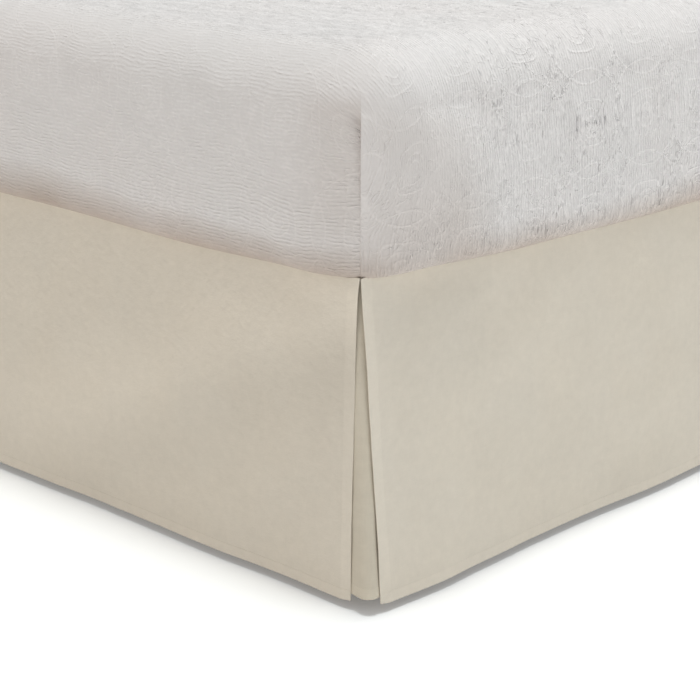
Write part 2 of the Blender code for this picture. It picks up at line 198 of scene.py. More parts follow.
# Stations beside a fold in millimetres, on the end's side and on the long side
END_STATIONS = (70, 62, 55, 48, 42, 36, 30, 25, 20, 16, 12.5, 9.5, 7, 5, 3.4, 2.2, 1.3, 0.7, 0.3)
SIDE_STATIONS = (0, 0.5, 1.2, 2.4, 4, 6, 9, 13, 18, 24, 30, 37, 44, 52, 60, 70)
RIM_STEP = 9 * MM
# Painted shade of the skirt's recessed insert and of the cover's low edge, folds and corners, as factors
# of their colours
UNSHADED = (1.0, 1.0, 1.0, 1.0)
INSERT_PAINTED_SHADE = (0.99, 0.98, 0.94, 1.0)
LOW_COVER_PAINTED_SHADE = (0.65, 0.562, 0.49, 1.0)

# The mattress rim in plan, counter-clockwise from the foot end of its right side
RIM_X = MATTRESS_HIGH[0] - 2.6 * MM - CORNER_RADIUS
RIM_Y = MATTRESS_HIGH[1] - 2.8 * MM - CORNER_RADIUS
RIM_ARC = 0.5 * np.pi * CORNER_RADIUS
RIM_STRAIGHTS = (2.0 * RIM_Y, 2.0 * RIM_X, 2.0 * RIM_Y, 2.0 * RIM_X)
RIM_LENGTH = sum(RIM_STRAIGHTS) + 4.0 * RIM_ARC
END_BEFORE_SIDE = (1, 3)


def settings():
    """The sizes and colours that a user can change in the sidebar."""
    return bpy.context.scene.bed_skirt


def smooth_step(low, high, value):
    """0 below low, 1 above high, and the cubic 3s^2 - 2s^3 of the share between them."""
    share = np.clip((value - low) / (high - low), 0.0, 1.0)
    return share * share * (3.0 - 2.0 * share)


def crumple(across, along, size, seed, period=None, waves=14):
    """Sum of plane waves with seeded directions, phases and wavelengths near size; about -1 to 1.

    With a period the waves close up again after that distance across.
    """
    draw = np.random.default_rng(seed)
    turns = draw.uniform(0.0, 2.0 * np.pi, waves)
    phases = draw.uniform(0.0, 2.0 * np.pi, waves)
    lengths = size * draw.uniform(0.7, 1.6, waves)
    total = np.zeros(np.broadcast(across, along).shape)
    for turn, phase, length in zip(turns, phases, lengths):
        pace = np.cos(turn) / length
        if period is not None:
            pace = np.round(pace * period) / period
        step = 2.0 * np.pi * (across * pace + along * np.sin(turn) / length)
        total = total + np.sin(step + phase)
    return total / np.sqrt(waves)


def spaced(length, step, edges):
    """Stations from 0 to length about a step apart, with finer ones at distances from both ends."""
    near = np.array(edges)
    reach = near[-1]
    count = max(2, int(round((length - 2.0 * reach) / step)))
    middle = np.linspace(reach, length - reach, count + 1)
    return np.concatenate([near[:-1], middle, length - near[-2::-1]])


def grid_quads(index):
    """Quads over a grid of vertex numbers."""
    corners = (index[:-1, :-1], index[1:, :-1], index[1:, 1:], index[:-1, 1:])
    return np.stack(corners, axis=-1).reshape(-1, 4)


def grid_normals(points):
    """Unit normals of a grid: the cross product of its row and column differences."""
    normal = np.cross(np.gradient(points, axis=0), np.gradient(points, axis=1))
    return normal / np.linalg.norm(normal, axis=-1, keepdims=True)


def enclosed_volume(points, quads):
    """Volume inside closed quads, from the triple products of their two triangles."""
    a, b, c, d = (points[quads[:, i]] for i in range(4))
    first = np.einsum("ij,ij->i", a, np.cross(b, c))
    second = np.einsum("ij,ij->i", a, np.cross(c, d))
    return float((first + second).sum() / 6.0)


def add_piece(name, points, quads, finish, loop_uv, marks=None):
    """A smooth object from vertices, quads turned outwards, UVs per quad corner and marks.

    marks are named floats for each vertex.
    """
    if enclosed_volume(points, quads) < 0.0:
        quads = quads[:, ::-1]
        loop_uv = loop_uv[:, ::-1]
    mesh = bpy.data.meshes.new(name)
    mesh.from_pydata(points.tolist(), [], quads.tolist())
    layer = mesh.uv_layers.new(name="Cloth")
    layer.data.foreach_set("uv", loop_uv.astype(np.float32).ravel())
    for mark, values in (marks or {}).items():
        attribute = mesh.attributes.new(mark, "FLOAT", "POINT")
        attribute.data.foreach_set("value", values.astype(np.float32).ravel())
    mesh.materials.append(finish)
    mesh.shade_smooth()
    mesh.validate()
    piece = bpy.data.objects.new(name, mesh)
    bpy.context.collection.objects.link(piece)
    return piece


def closed_sheet(name, outer, thickness, uv, finish, marks, outward):
    """A sheet of cloth: an outer grid, an inner one a thickness behind it, and the rim between.

    outer is (rows, columns, 3), thickness (rows, columns), uv (rows, columns, 2) in metres, and
    outward a vector that the outer face looks along, roughly.
    """
    normal = grid_normals(outer)
    if np.einsum("ijk,k->", normal, np.array(outward)) < 0.0:
        normal = -normal
    inner = outer - normal * thickness[..., None]
    rows, columns = outer.shape[:2]
    count = rows * columns
    index = np.arange(count).reshape(rows, columns)
    ring = np.concatenate([index[0, :-1], index[:-1, -1], index[-1, :0:-1], index[:0:-1, 0]])
    after = np.roll(ring, -1)
    rim = np.stack([ring, after, after + count, ring + count], axis=1)
    quads = np.concatenate([grid_quads(index), grid_quads(index + count)[:, ::-1], rim])
    points = np.concatenate([outer.reshape(-1, 3), inner.reshape(-1, 3)])
    flat = np.tile(uv.reshape(-1, 2), (2, 1))
    doubled = {mark: np.tile(values.ravel(), 2) for mark, values in marks.items()}
    return add_piece(name, points, quads, finish, flat[quads], doubled)


def hand_over(piece, slot, *nodes):
    """Let a piece ride on the bed and stand for its CAD nodes, which are hidden; slot is not used."""
    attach(piece, BODY)
    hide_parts(*nodes)


class Graph:
    """The node tree of one Principled material, built step by step."""

    def __init__(self, name, roughness, sheen=0.0, sheen_roughness=0.5):
        """A fresh material with its constant values set on the shader's own sockets."""
        self.material = bpy.data.materials.new(name)
        self.material.use_nodes = True
        self.tree = self.material.node_tree
        self.shader = self.tree.nodes["Principled BSDF"]
        self.shader.inputs["Roughness"].default_value = roughness
        self.shader.inputs["Sheen Weight"].default_value = sheen
        self.shader.inputs["Sheen Roughness"].default_value = sheen_roughness
        self.shader.inputs["Specular IOR Level"].default_value = 0.25

    def feed(self, socket, value):
        """Link a socket to another, or set it to a constant."""
        if isinstance(value, bpy.types.NodeSocket):
            self.tree.links.new(value, socket)
        else:
            socket.default_value = value

    def node(self, kind, inputs=(), **settings_of_node):
        """A node with its settings and inputs; inputs pairs a socket's name or number and value."""
        made = self.tree.nodes.new(kind)
        for key, value in settings_of_node.items():
            setattr(made, key, value)
        for socket, value in inputs:
            self.feed(made.inputs[socket], value)
        return made

    def math(self, operation, first, second=0.0, third=0.0):
        """One scalar step."""
        inputs = ((0, first), (1, second), (2, third))
        return self.node("ShaderNodeMath", inputs, operation=operation).outputs[0]

    def vector(self, operation, first, second=(0.0, 0.0, 0.0)):
        """One vector step; a length or distance comes out as a number."""
        made = self.node("ShaderNodeVectorMath", ((0, first), (1, second)), operation=operation)
        return made.outputs["Value" if operation in ("LENGTH", "DISTANCE") else "Vector"]

    def uv(self):
        """The flat cloth's coordinates in metres."""
        return self.node("ShaderNodeUVMap", uv_map="Cloth").outputs["UV"]

    def stretched(self, place, scale):
        """A place scaled along its axes."""
        return self.vector("MULTIPLY", place, scale)

    def noise(self, place, scale, detail=2.0, roughness=0.5):
        """Noise from 0 to 1 at features per metre."""
        inputs = (("Vector", place), ("Scale", scale), ("Detail", detail), ("Roughness", roughness))
        return self.node("ShaderNodeTexNoise", inputs, noise_dimensions="3D").outputs["Fac"]

    def ease(self, value, low, high, bottom=0.0, top=1.0):
        """A smooth step of a value from low to high, mapped to bottom and top."""
        inputs = ((0, value), (1, low), (2, high), (3, bottom), (4, top))
        made = self.node("ShaderNodeMapRange", inputs, interpolation_type="SMOOTHSTEP")
        return made.outputs[0]

    def line(self, value, place, half_width):
        """1 where a value is at a place, easing to 0 a half width away."""
        away = self.math("ABSOLUTE", self.math("SUBTRACT", value, place))
        return self.ease(away, 0.0, half_width, 1.0, 0.0)

    def mark(self, name):
        """A named float of the mesh."""
        return self.node("ShaderNodeAttribute", attribute_name=name).outputs["Fac"]

    def total(self, *values):
        """Sum of several numbers."""
        result = values[0]
        for value in values[1:]:
            result = self.math("ADD", result, value)
        return result

    def blend(self, share, first, second):
        """Mix two colours."""
        made = self.node("ShaderNodeMix", data_type="RGBA")
        self.feed(made.inputs["Factor"], share)
        self.feed(made.inputs[6], first)
        self.feed(made.inputs[7], second)
        return made.outputs[2]

    def shade(self, colour, brightness):
        """A colour multiplied by a brightness."""
        inputs = ((0, colour), ("Scale", brightness))
        return self.node("ShaderNodeVectorMath", inputs, operation="SCALE").outputs[0]

    def bump(self, height, distance, below=None):
        """A bump of a height from 0 to 1 over a distance in metres, on top of another bump."""
        inputs = (("Strength", 1.0), ("Distance", distance), ("Height", height))
        made = self.node("ShaderNodeBump", inputs)
        if below is not None:
            self.feed(made.inputs["Normal"], below)
        return made.outputs["Normal"]

    def finish(self, colour, normal):
        """Connect the colour and the bumped normal, and give the material back."""
        self.feed(self.shader.inputs["Base Color"], colour)
        self.feed(self.shader.inputs["Normal"], normal)
        return self.material


def poplin_finish():
    """Ivory poplin: fine warp and weft, slubs, soft mottling, doubled hems and their stitches."""
    chosen = settings()
    graph = Graph("ivory poplin", 0.88, 0.08, 0.4)
    flat = graph.uv()
    parts = graph.node("ShaderNodeSeparateXYZ", ((0, flat),))
    across, height = parts.outputs[0], parts.outputs[1]
    beat = 2.0 * np.pi / chosen.yarn_pitch
    warp = graph.math("SINE", graph.math("MULTIPLY", across, beat))
    weft = graph.math("SINE", graph.math("MULTIPLY", height, beat * 0.8))
    weave = graph.math("MULTIPLY", warp, weft)
    slub_weft = graph.noise(graph.stretched(flat, (90.0, 900.0, 1.0)), 1.0, 2.0)
    slub_warp = graph.noise(graph.stretched(flat, (800.0, 70.0, 1.0)), 1.0, 2.0)
    mottle = graph.noise(flat, 75.0, 4.0, 0.62)
    rumple = graph.noise(flat, 95.0, 3.0, 0.55)
    seam = graph.mark("seam")
    stitch_row = graph.line(seam, 0.0, 0.55 * MM)
    run = graph.math("FRACT", graph.math("DIVIDE", across, chosen.stitch_pitch))
    stitch = graph.math("MULTIPLY", stitch_row, graph.line(run, 0.5, 0.42))
    doubled = graph.mark("doubled")
    # painted light and shade on the laid ridges: lighter where a flank faces up, darker where it faces
    # down
    painted_ridge_shading = graph.mark("painted_ridge_shading")
    cloudy = graph.noise(flat, 15.0, 3.0, 0.5)
    # painted shade and light: the drops darker towards the hem and a little lighter near the top
    painted_height_shade = graph.ease(height, 0.0, 0.24, -0.022, 0.006)
    brightness = graph.total(
        0.874,
        painted_height_shade,
        painted_ridge_shading,
        graph.math("MULTIPLY", cloudy, 0.06),
        graph.math("MULTIPLY", mottle, 0.12),
        graph.math("MULTIPLY", slub_weft, 0.05),
        graph.math("MULTIPLY", slub_warp, 0.04),
        graph.math("MULTIPLY", doubled, 0.035),
        # painted shade: the insert, recessed behind the drops, made darker
        graph.math("MULTIPLY", graph.mark("painted_recess_shade"), -0.12),
        graph.math("MULTIPLY", stitch_row, -0.015),
        graph.math("MULTIPLY", stitch, 0.07),
    )
    warmth = graph.blend(
        graph.noise(flat, 9.0, 2.0), (*chosen.poplin_warm, 1.0), (*chosen.poplin_cool, 1.0)
    )
    fine = graph.bump(weave, 0.00002)
    yarns = graph.bump(graph.total(slub_weft, slub_warp), 0.00010, fine)
    soft = graph.bump(rumple, 0.0008, yarns)
    sewn = graph.bump(stitch, 0.0004, soft)
    # painted shade: the recessed insert tinted darker and yellower
    shadow_tint = graph.blend(graph.mark("painted_recess_shade"), UNSHADED, INSERT_PAINTED_SHADE)
    return graph.finish(graph.stretched(graph.shade(warmth, brightness), shadow_tint), sewn)


def lattice_lines(graph, flat, spacing, radius):
    """Raised lines of a common lattice: overlapping circles, rounded squares, petals and curls.

    A cell's coordinates run from minus to plus half a spacing about its centre. A circle is a
    line at a radius from its own centre or a neighbour's. A rounded square is where the fourth
    powers of both coordinates add up to that of its half side. Petals follow r = r0 + r1 cos(4
    angle) at the cells' corners, and curls are the level lines of a noise.
    """
    step = (1.0 / spacing, 1.0 / spacing, 0.0)
    inputs = (("Vector", flat), ("Scale", 17.0), ("Detail", 2.0))
    bent = graph.node("ShaderNodeTexNoise", inputs).outputs["Color"]
    sway = graph.stretched(graph.vector("SUBTRACT", bent, (0.5, 0.5, 0.5)), (9 * MM, 9 * MM, 0.0))
    drawn_on = graph.vector("ADD", flat, sway)
    share = graph.vector("FRACTION", graph.stretched(drawn_on, step))
    cell = graph.vector("SUBTRACT", share, (0.5, 0.5, 0.0))
    local = graph.stretched(cell, (spacing, spacing, 0.0))
    folded = graph.vector("ABSOLUTE", local)
    width = 2.1 * MM
    lines = []
    for centre in ((0.0, 0.0), (spacing, 0.0), (0.0, spacing), (spacing, spacing)):
        lines.append(graph.line(graph.vector("DISTANCE", folded, (*centre, 0.0)), radius, width))
    axes = graph.node("ShaderNodeSeparateXYZ", ((0, folded),))
    powers = [graph.math("POWER", axes.outputs[i], 4.0) for i in (0, 1)]
    square = graph.math("POWER", graph.total(*powers), 0.25)
    lines.append(graph.line(square, 25 * MM, width))
    centre_away = graph.vector("LENGTH", local)
    for ring in (8 * MM, 16 * MM):
        lines.append(graph.line(centre_away, ring, width))
    corner = graph.vector("SUBTRACT", (0.5 * spacing, 0.5 * spacing, 0.0), folded)
    spread = graph.node("ShaderNodeSeparateXYZ", ((0, corner),))
    angle = graph.math("ARCTAN2", spread.outputs[1], spread.outputs[0])
    swing = graph.math("COSINE", graph.math("MULTIPLY", angle, 4.0))
    petal = graph.math("MULTIPLY_ADD", swing, 4 * MM, 11 * MM)
    lines.append(graph.line(graph.vector("LENGTH", corner), petal, width))
    curls = graph.noise(drawn_on, 34.0, 1.0)
    curl_lines = graph.math("MAXIMUM", graph.line(curls, 0.42, 0.022), graph.line(curls, 0.58, 0.022))
    lines.append(graph.math("MULTIPLY", curl_lines, graph.ease(graph.noise(flat, 9.0), 0.40, 0.55)))
    result = lines[0]
    for found in lines[1:]:
        result = graph.math("MAXIMUM", result, found)
    return result


def cover_finish():
    """White cotton, puckered in wavering ribs, with a faint raised lattice of circles."""
    chosen = settings()
    graph = Graph("white puckered cover", 0.92, 0.1, 0.5)
    flat = graph.uv()
    parts = graph.node("ShaderNodeSeparateXYZ", ((0, flat),))
    wander = graph.math("MULTIPLY_ADD", graph.noise(flat, 14.0, 2.0, 0.5), 16 * MM, parts.outputs[1])
    waver = graph.math("MULTIPLY_ADD", graph.noise(flat, 72.0, 2.0, 0.5), 3.6 * MM, wander)
    wave = graph.math("SINE", graph.math("MULTIPLY", waver, 2.0 * np.pi / chosen.rib_pitch))
    streak = graph.noise(graph.stretched(flat, (90.0, 430.0, 1.0)), 1.0, 2.0, 0.55)
    gaps = graph.noise(graph.stretched(flat, (75.0, 150.0, 1.0)), 1.0, 2.0)
    broken = graph.ease(gaps, 0.34, 0.66, 0.12, 1.0)
    crinkle = graph.noise(graph.stretched(flat, (230.0, 340.0, 1.0)), 1.0, 2.0, 0.5)
    steady = graph.math("MULTIPLY_ADD", graph.mark("figure_and_painted_light"), 0.30, -0.30)
    broken = graph.math("MAXIMUM", broken, steady)
    ribs = graph.math("MULTIPLY", graph.math("MULTIPLY_ADD", wave, 0.5, 0.5), broken)
    drawn_up = graph.math("MULTIPLY_ADD", crinkle, 0.9, graph.math("MULTIPLY", streak, 0.25))
    mixed = graph.math("MULTIPLY_ADD", ribs, 0.66, graph.math("SUBTRACT", drawn_up, 0.76))
    mixed = graph.math("SMOOTH_MAX", mixed, -0.26, 0.20)
    coarse = graph.noise(graph.stretched(flat, (28.0, 85.0, 1.0)), 1.0, 3.0, 0.5)
    wrinkled = graph.math("MULTIPLY", graph.math("SUBTRACT", coarse, 0.5), graph.mark("wrinkled"))
    raised = graph.math("MULTIPLY_ADD", mixed, graph.mark("relief"), wrinkled)
    lattice = lattice_lines(graph, flat, chosen.lattice_spacing, chosen.lattice_radius)
    patchy = graph.noise(flat, 28.0, 3.0)
    worn = graph.ease(graph.noise(flat, 5.0, 2.0), 0.40, 0.58, 0.55, 1.0)
    lattice = graph.math("MULTIPLY", lattice, graph.math("MULTIPLY", worn, graph.mark("figure_and_painted_light")))
    grain = graph.noise(flat, 700.0, 2.0)
    brightness = graph.total(
        0.938,
        # painted light: lighter on the long sides and towards the right of the top, by the mark that also
        # sets how strongly the lattice and ribs show
        graph.math("MULTIPLY", graph.mark("figure_and_painted_light"), 0.040),
        graph.math("MULTIPLY", graph.mark("wrinkled"), 0.028),
        graph.math("MULTIPLY", raised, 0.15),
        graph.math("MULTIPLY", lattice, 0.053),
        graph.math("MULTIPLY", patchy, 0.04),
    )
    colour = graph.blend(
        graph.noise(flat, 6.0, 2.0), (*chosen.cover_warm, 1.0), (*chosen.cover_cool, 1.0)
    )
    # painted shade: a warm darker tint under the lip, beside each fold and on the long sides near the
    # corners
    low_shade = graph.blend(graph.mark("painted_shade"), UNSHADED, LOW_COVER_PAINTED_SHADE)
    yarn = graph.bump(grain, 0.00010)
    pucker = graph.bump(raised, 0.0010, yarn)
    drawn = graph.bump(lattice, 0.0003, pucker)
    return graph.finish(graph.stretched(graph.shade(colour, brightness), low_shade), drawn)


def ticking_finish():
    """Plain woven ticking of the foundation: a fine twill and a little mottling."""
    chosen = settings()
    graph = Graph("plain ticking", 0.9, 0.06, 0.5)
    flat = graph.uv()
    parts = graph.node("ShaderNodeSeparateXYZ", ((0, flat),))
    slope = graph.total(parts.outputs[0], parts.outputs[1])
    twill = graph.math("SINE", graph.math("MULTIPLY", slope, 2.0 * np.pi / (1.6 * MM)))
    mottle = graph.noise(flat, 30.0, 4.0)
    yarn = graph.noise(graph.stretched(flat, (900.0, 300.0, 1.0)), 1.0)
    seam = graph.line(graph.mark("seam"), 0.0, 1.2 * MM)
    brightness = graph.total(
        0.9,
        graph.math("MULTIPLY", mottle, 0.08),
        graph.math("MULTIPLY", yarn, 0.06),
        graph.math("MULTIPLY", twill, 0.012),
        graph.math("MULTIPLY", seam, -0.12),
    )
    colour = graph.shade((*chosen.ticking,), brightness)
    woven = graph.bump(graph.total(graph.math("MULTIPLY", twill, 0.5), yarn), 0.00018)
    return graph.finish(colour, graph.bump(mottle, 0.0008, woven))


def wood_finish():
    """Satin beech: long wavering grain along the leg, short dark flecks and a faint polish."""
    chosen = settings()
    graph = Graph("satin beech", 0.42)
    place = graph.node("ShaderNodeTexCoord").outputs["Object"]
    grain = graph.noise(graph.stretched(place, (120.0, 120.0, 9.0)), 1.0, 4.0, 0.6)
    fleck = graph.ease(graph.noise(graph.stretched(place, (700.0, 700.0, 90.0)), 1.0, 1.0), 0.62, 0.74)
    tone = graph.blend(graph.ease(grain, 0.3, 0.7), (*chosen.wood_dark, 1.0), (*chosen.wood_light, 1.0))
    brightness = graph.math("MULTIPLY_ADD", fleck, -0.22, 1.0)
    return graph.finish(graph.shade(tone, brightness), graph.bump(grain, 0.0002))


def floor_finish():
    """A plain pale floor with the faintest unevenness."""
    graph = Graph("plain pale floor", 0.9)
    graph.shader.inputs["Emission Color"].default_value = (1.0, 1.0, 1.0, 1.0)
    graph.shader.inputs["Emission Strength"].default_value = 0.13
    place = graph.node("ShaderNodeTexCoord").outputs["Object"]
    tone = graph.shade((0.97, 0.97, 0.97), graph.ease(graph.noise(place, 1.2), 0.0, 1.0, 0.985, 1.0))
    return graph.finish(tone, graph.bump(graph.noise(place, 40.0), 0.00005))


def finish_named(name, maker):
    """A finish that is made once and then shared."""
    found = bpy.data.materials.get(name)
    return found if found is not None else maker()


def leaning_folds(table, along, down):
    """Sum of Gaussian folds whose middle leans with the share down: depth out from the bed."""
    depth = np.zeros(np.broadcast(along, down).shape)
    for row in table:
        fold = dict(zip(FOLD_COLUMNS, row))
        middle = fold["place"] + fold["lean"] * (down - 1.0)
        shape = np.exp(-(((along - middle) / fold["half_width"]) ** 2))
        depth = depth + shape * (fold["top_depth"] * (1.0 - down) + fold["hem_depth"] * down)
    return depth


def laid_ridges(table, along, height):
    """Sum of ridges: a Gaussian of the distance to a line between two points, faded at its ends."""
    depth = np.zeros(np.broadcast(along, height).shape)
    for row in table:
        ridge = dict(zip(RIDGE_COLUMNS, row))
        run_along = ridge["to_along"] - ridge["from_along"]
        run_height = ridge["to_height"] - ridge["from_height"]
        length = np.hypot(run_along, run_height)
        step_along = along - ridge["from_along"]
        step_height = height - ridge["from_height"]
        share = (step_along * run_along + step_height * run_height) / length**2
        off = (step_along * run_height - step_height * run_along) / length
        ends = smooth_step(-0.25, 0.25, share) * (1.0 - smooth_step(0.75, 1.25, share))
        depth = depth + ridge["depth"] * ends * np.exp(-((off / ridge["half_width"]) ** 2))
    return depth


def hem_heights(drop):
    """Rows from the top edge to the hem, with fine ones about the hem's stitch line."""
    chosen = settings()
    line = chosen.hem_height
    fine = np.array([2.6, 1.9, 1.2, 0.7, 0.35, 0.0, -0.35, -0.7, -1.2, -2.0]) * MM + line
    low = np.array([0.62, 0.42, 0.24, 0.10, 0.04, 0.0]) * line
    field = np.linspace(drop, line + 4.5 * MM, int(drop / chosen.grid_step))
    top = np.array([drop, drop - 0.4 * MM, drop - 1.5 * MM])
    return np.concatenate([top, field[1:], fine, low])


def hem_relief(along, height, seed):
    """Relief of the turned hem: a proud band, a sunk stitch line and small drawn puckers."""
    chosen = settings()
    line = chosen.hem_height
    band = 1.0 - smooth_step(line - 0.6 * MM, line + 0.4 * MM, height)
    groove = np.exp(-(((height - line) / (0.8 * MM)) ** 2))
    pull = np.exp(-(((height - line) / (7.0 * MM)) ** 2))
    pucker = crumple(along, 0.35 * height, 11 * MM, seed)
    wander = crumple(along, height, 46 * MM, seed + 1)
    return 0.25 * MM * band - 0.14 * MM * groove + pull * (0.10 * MM * pucker + 0.18 * MM * wander)


def edge_share(distance, reach):
    """0.35 at an edge, rising to 1 within reach, so that a cloth's edge reads round."""
    inwards = 1.0 - np.clip(distance / reach, 0.0, 1.0)
    return 0.35 + 0.65 * np.sqrt(np.clip(1.0 - inwards**2, 0.0, 1.0))


def build_drop(
    name, node, corner, direction, outward, edges, flare, tables, stacked_ends, free_ends, seed
):
    """One drop of the skirt as a closed sheet.

    A point at a distance along and a share down stands off the bed by the top's offset, plus the
    stack of cloth beside an insert, plus flare times the share, plus folds, ridges and crumple.
    edges gives both side edges as functions of the share down, in metres from the foot corner.
    """
    chosen = settings()
    height = hem_heights(DROP)[:, None]
    down = 1.0 - height / DROP
    start, end = edges
    length = float(end(0.0) - start(0.0))
    side_hem = chosen.side_hem
    close = np.array([0.0, 0.3, 1.0, 2.5, 5.0, 8.0]) * MM
    close = np.concatenate([close, side_hem + np.array([-2.5, -1.2, -0.4, 0.4, 1.2, 3.0, 6.0]) * MM])
    run = spaced(length, chosen.grid_step, close)[None, :]
    along = start(down) + (end(down) - start(down)) * (run / length)
    stack = np.zeros_like(along)
    for place in stacked_ends:
        beyond = abs(along - place) - INSERT_WING
        stack = np.maximum(stack, 1.0 - smooth_step(0.1 * STACK_FADE, STACK_FADE, beyond))
    folds, ridges = tables
    out = DROP_OUT + PLEAT_STACK * stack + flare * down + leaning_folds(folds, along, down)
    loose = smooth_step(0.0, 0.16, down)
    from_free = np.full_like(along, length)
    for free_end in free_ends:
        distance = run if free_end == 0 else length - run
        from_free = np.minimum(from_free, distance + 0.0 * along)
    out = out + loose * smooth_step(0.0, 90 * MM, from_free) * laid_ridges(ridges, along, height)
    rumple = 0.55 * MM * crumple(along, height, 0.13, seed)
    rumple = rumple + 0.12 * MM * crumple(along, height, 0.034, seed + 7)
    out = out + loose * rumple
    out = out + hem_relief(along, height, seed + 3)
    beside = 1.0 - smooth_step(side_hem - 1.5 * MM, side_hem + 1.0 * MM, from_free)
    curl = np.exp(-((from_free / (9 * MM)) ** 2)) * smooth_step(0.75, 1.0, down)
    out = out + 0.3 * MM * beside * loose - chosen.edge_curl * curl
    lift = 1.2 * MM * curl * smooth_step(0.93, 1.0, down)
    from_edge = np.minimum(run, length - run) + 0.0 * along
    band = 1.0 - smooth_step(chosen.hem_height - 0.4 * MM, chosen.hem_height + 0.2 * MM, height)
    thick = chosen.cloth + chosen.cloth * np.maximum(band, beside)
    round_off = edge_share(np.minimum(from_edge, height + 0.0 * along), 0.8 * MM)
    points = np.array(corner) + along[..., None] * np.array(direction)
    points = points + out[..., None] * np.array(outward)
    nearest_end = np.min([abs(along - place) for place in stacked_ends], axis=0)
    at_top = 1.0 - smooth_step(0.0, 0.12, down)
    drawn_up = CORNER_RISE * np.exp(-((nearest_end / (8 * MM)) ** 2)) * at_top
    points[..., 2] = DECK_TOP - DROP * down + lift + drawn_up
    uv = np.stack([along, height + 0.0 * along], axis=-1)
    # painted light and shade from the slope of the laid ridges
    lean_up = laid_ridges(ridges, along, height - 6 * MM)
    lean_up = lean_up - laid_ridges(ridges, along, height + 6 * MM)
    marks = {
        "seam": height - chosen.hem_height + 0.0 * along,
        "doubled": np.maximum(band, beside),
        "painted_ridge_shading": 1.1 * smooth_step(0.0, 0.05, down) * lean_up / (12 * MM),
    }
    finish = finish_named("ivory poplin", poplin_finish)
    piece = closed_sheet(name, points, thick * round_off, uv, finish, marks, outward)
    hand_over(piece, "poplin", node)
    return piece


def build_insert(name, node, side, seed):
    """The insert behind a split corner as a closed sheet.

    In plan it is a straight wing, a quarter round and another wing. The radius and the stand-off
    run straight from their values at the top to those at the hem; a soft bulge swells its bend.
    """
    chosen = settings()
    drop = DROP - INSERT_SHORTER_BY
    height = hem_heights(drop)[:, None]
    down = 1.0 - height / drop
    radius = INSERT_BEND_TOP + (INSERT_BEND_HEM - INSERT_BEND_TOP) * down
    side_out = INSERT_OUT + INSERT_SIDE_SWING * down
    foot_out = INSERT_OUT + INSERT_FOOT_SWING * down
    turn = np.linspace(0.0, 0.5 * np.pi, 17)[None, :]
    wing = np.concatenate([[0.0, 0.4 * MM], np.linspace(2 * MM, INSERT_WING, 20)])[None, :]
    outwards = wing[:, ::-1]
    centre_x = HALF_WIDTH + side_out - radius
    centre_y = -(HALF_LENGTH + foot_out - radius)
    inner_wing = INSERT_WING - wing
    foot_x = centre_x - inner_wing
    foot_y = centre_y - radius + 0.0 * inner_wing
    bend_x = centre_x + radius * np.sin(turn[:, 1:])
    bend_y = centre_y - radius * np.cos(turn[:, 1:])
    side_x = centre_x + radius + 0.0 * outwards
    side_y = centre_y + (INSERT_WING - outwards)
    x = np.concatenate([foot_x, bend_x, side_x[:, 1:]], axis=1)
    y = np.concatenate([foot_y, bend_y, side_y[:, 1:]], axis=1)
    pieces = np.hypot(np.diff(x[-1]), np.diff(y[-1]))
    travelled = np.concatenate([[0.0], np.cumsum(pieces)])[None, :]
    middle = 0.5 * travelled[0, -1]
    at_top = 1.0 - smooth_step(0.0, 0.12, down)
    drawn_up = CORNER_RISE * np.exp(-(((travelled - middle) / (11 * MM)) ** 2)) * at_top
    points = np.stack([x, y, DECK_TOP - drop * down + drawn_up], axis=-1)
    normal = grid_normals(points)
    if np.einsum("ijk,k->", normal, np.array((1.0, -1.0, 0.0))) < 0.0:
        normal = -normal
    bulge = chosen.insert_bulge * down * np.exp(-(((travelled - middle) / (16 * MM)) ** 2))
    ripple = smooth_step(0.1, 0.5, down) * 0.25 * MM * crumple(travelled, height, 0.05, seed)
    swell = bulge + ripple + 0.6 * hem_relief(travelled, height, seed + 2)
    points = points + normal * swell[..., None]
    points[..., 0] *= side
    band = 1.0 - smooth_step(chosen.hem_height - 0.4 * MM, chosen.hem_height + 0.2 * MM, height)
    from_edge = np.minimum(np.minimum(travelled, travelled[0, -1] - travelled), height)
    thick = chosen.cloth * (1.0 + band) * edge_share(from_edge, 0.8 * MM)
    uv = np.stack([travelled + 0.0 * x, height + 0.0 * x], axis=-1)
    marks = {
        "seam": height - chosen.hem_height + 0.0 * x,
        "doubled": band + 0.0 * x,
        # painted shade over the whole insert, which stands recessed behind the drops
        "painted_recess_shade": np.ones_like(x),
    }
    finish = finish_named("ivory poplin", poplin_finish)
    piece = closed_sheet(name, points, thick, uv, finish, marks, (side, -1.0, 0.0))
    hand_over(piece, "poplin", node)
    return piece


def build_deck():
    """The flat deck as a closed sheet: a plain grid whose corners are drawn in to a round."""
    chosen = settings()
    low, high = DECK_LOW, DECK_HIGH
    width, length = high[0] - low[0], high[1] - low[1]
    x = low[0] + spaced(width, 0.03, (0.0, 0.0004, 0.003, 0.008, 0.014))[None, :]
    y = low[1] + spaced(length, 0.03, (0.0, 0.0004, 0.003, 0.008, 0.014))[:, None]
    radius = INSERT_BEND_TOP - chosen.cloth
    over_x = np.clip(abs(x) - (high[0] - radius), 0.0, None)
    over_y = np.clip(-(y - (low[1] + radius)), 0.0, None)
    away = np.maximum(np.hypot(over_x, over_y), 1e-9)
    square = np.maximum(over_x, over_y)
    pull = np.where(away > 1e-6, square / away, 1.0)
    px = np.sign(x) * (abs(x) - over_x + over_x * pull) + 0.0 * y
    py = y + over_y - over_y * pull + 0.0 * x
    points = np.stack([px, py, high[2] - 0.05 * MM + 0.0 * px], axis=-1)
    thick = np.full(px.shape, DECK_HIGH[2] - DECK_LOW[2] - 0.1 * MM)
    uv = np.stack([px, py], axis=-1)
    marks = {"seam": np.full(px.shape, 1.0), "doubled": np.zeros(px.shape)}
    finish = finish_named("ivory poplin", poplin_finish)
    piece = closed_sheet("deck_cloth", points, thick, uv, finish, marks, (0.0, 0.0, 1.0))
    hand_over(piece, "poplin", "skirt_deck")


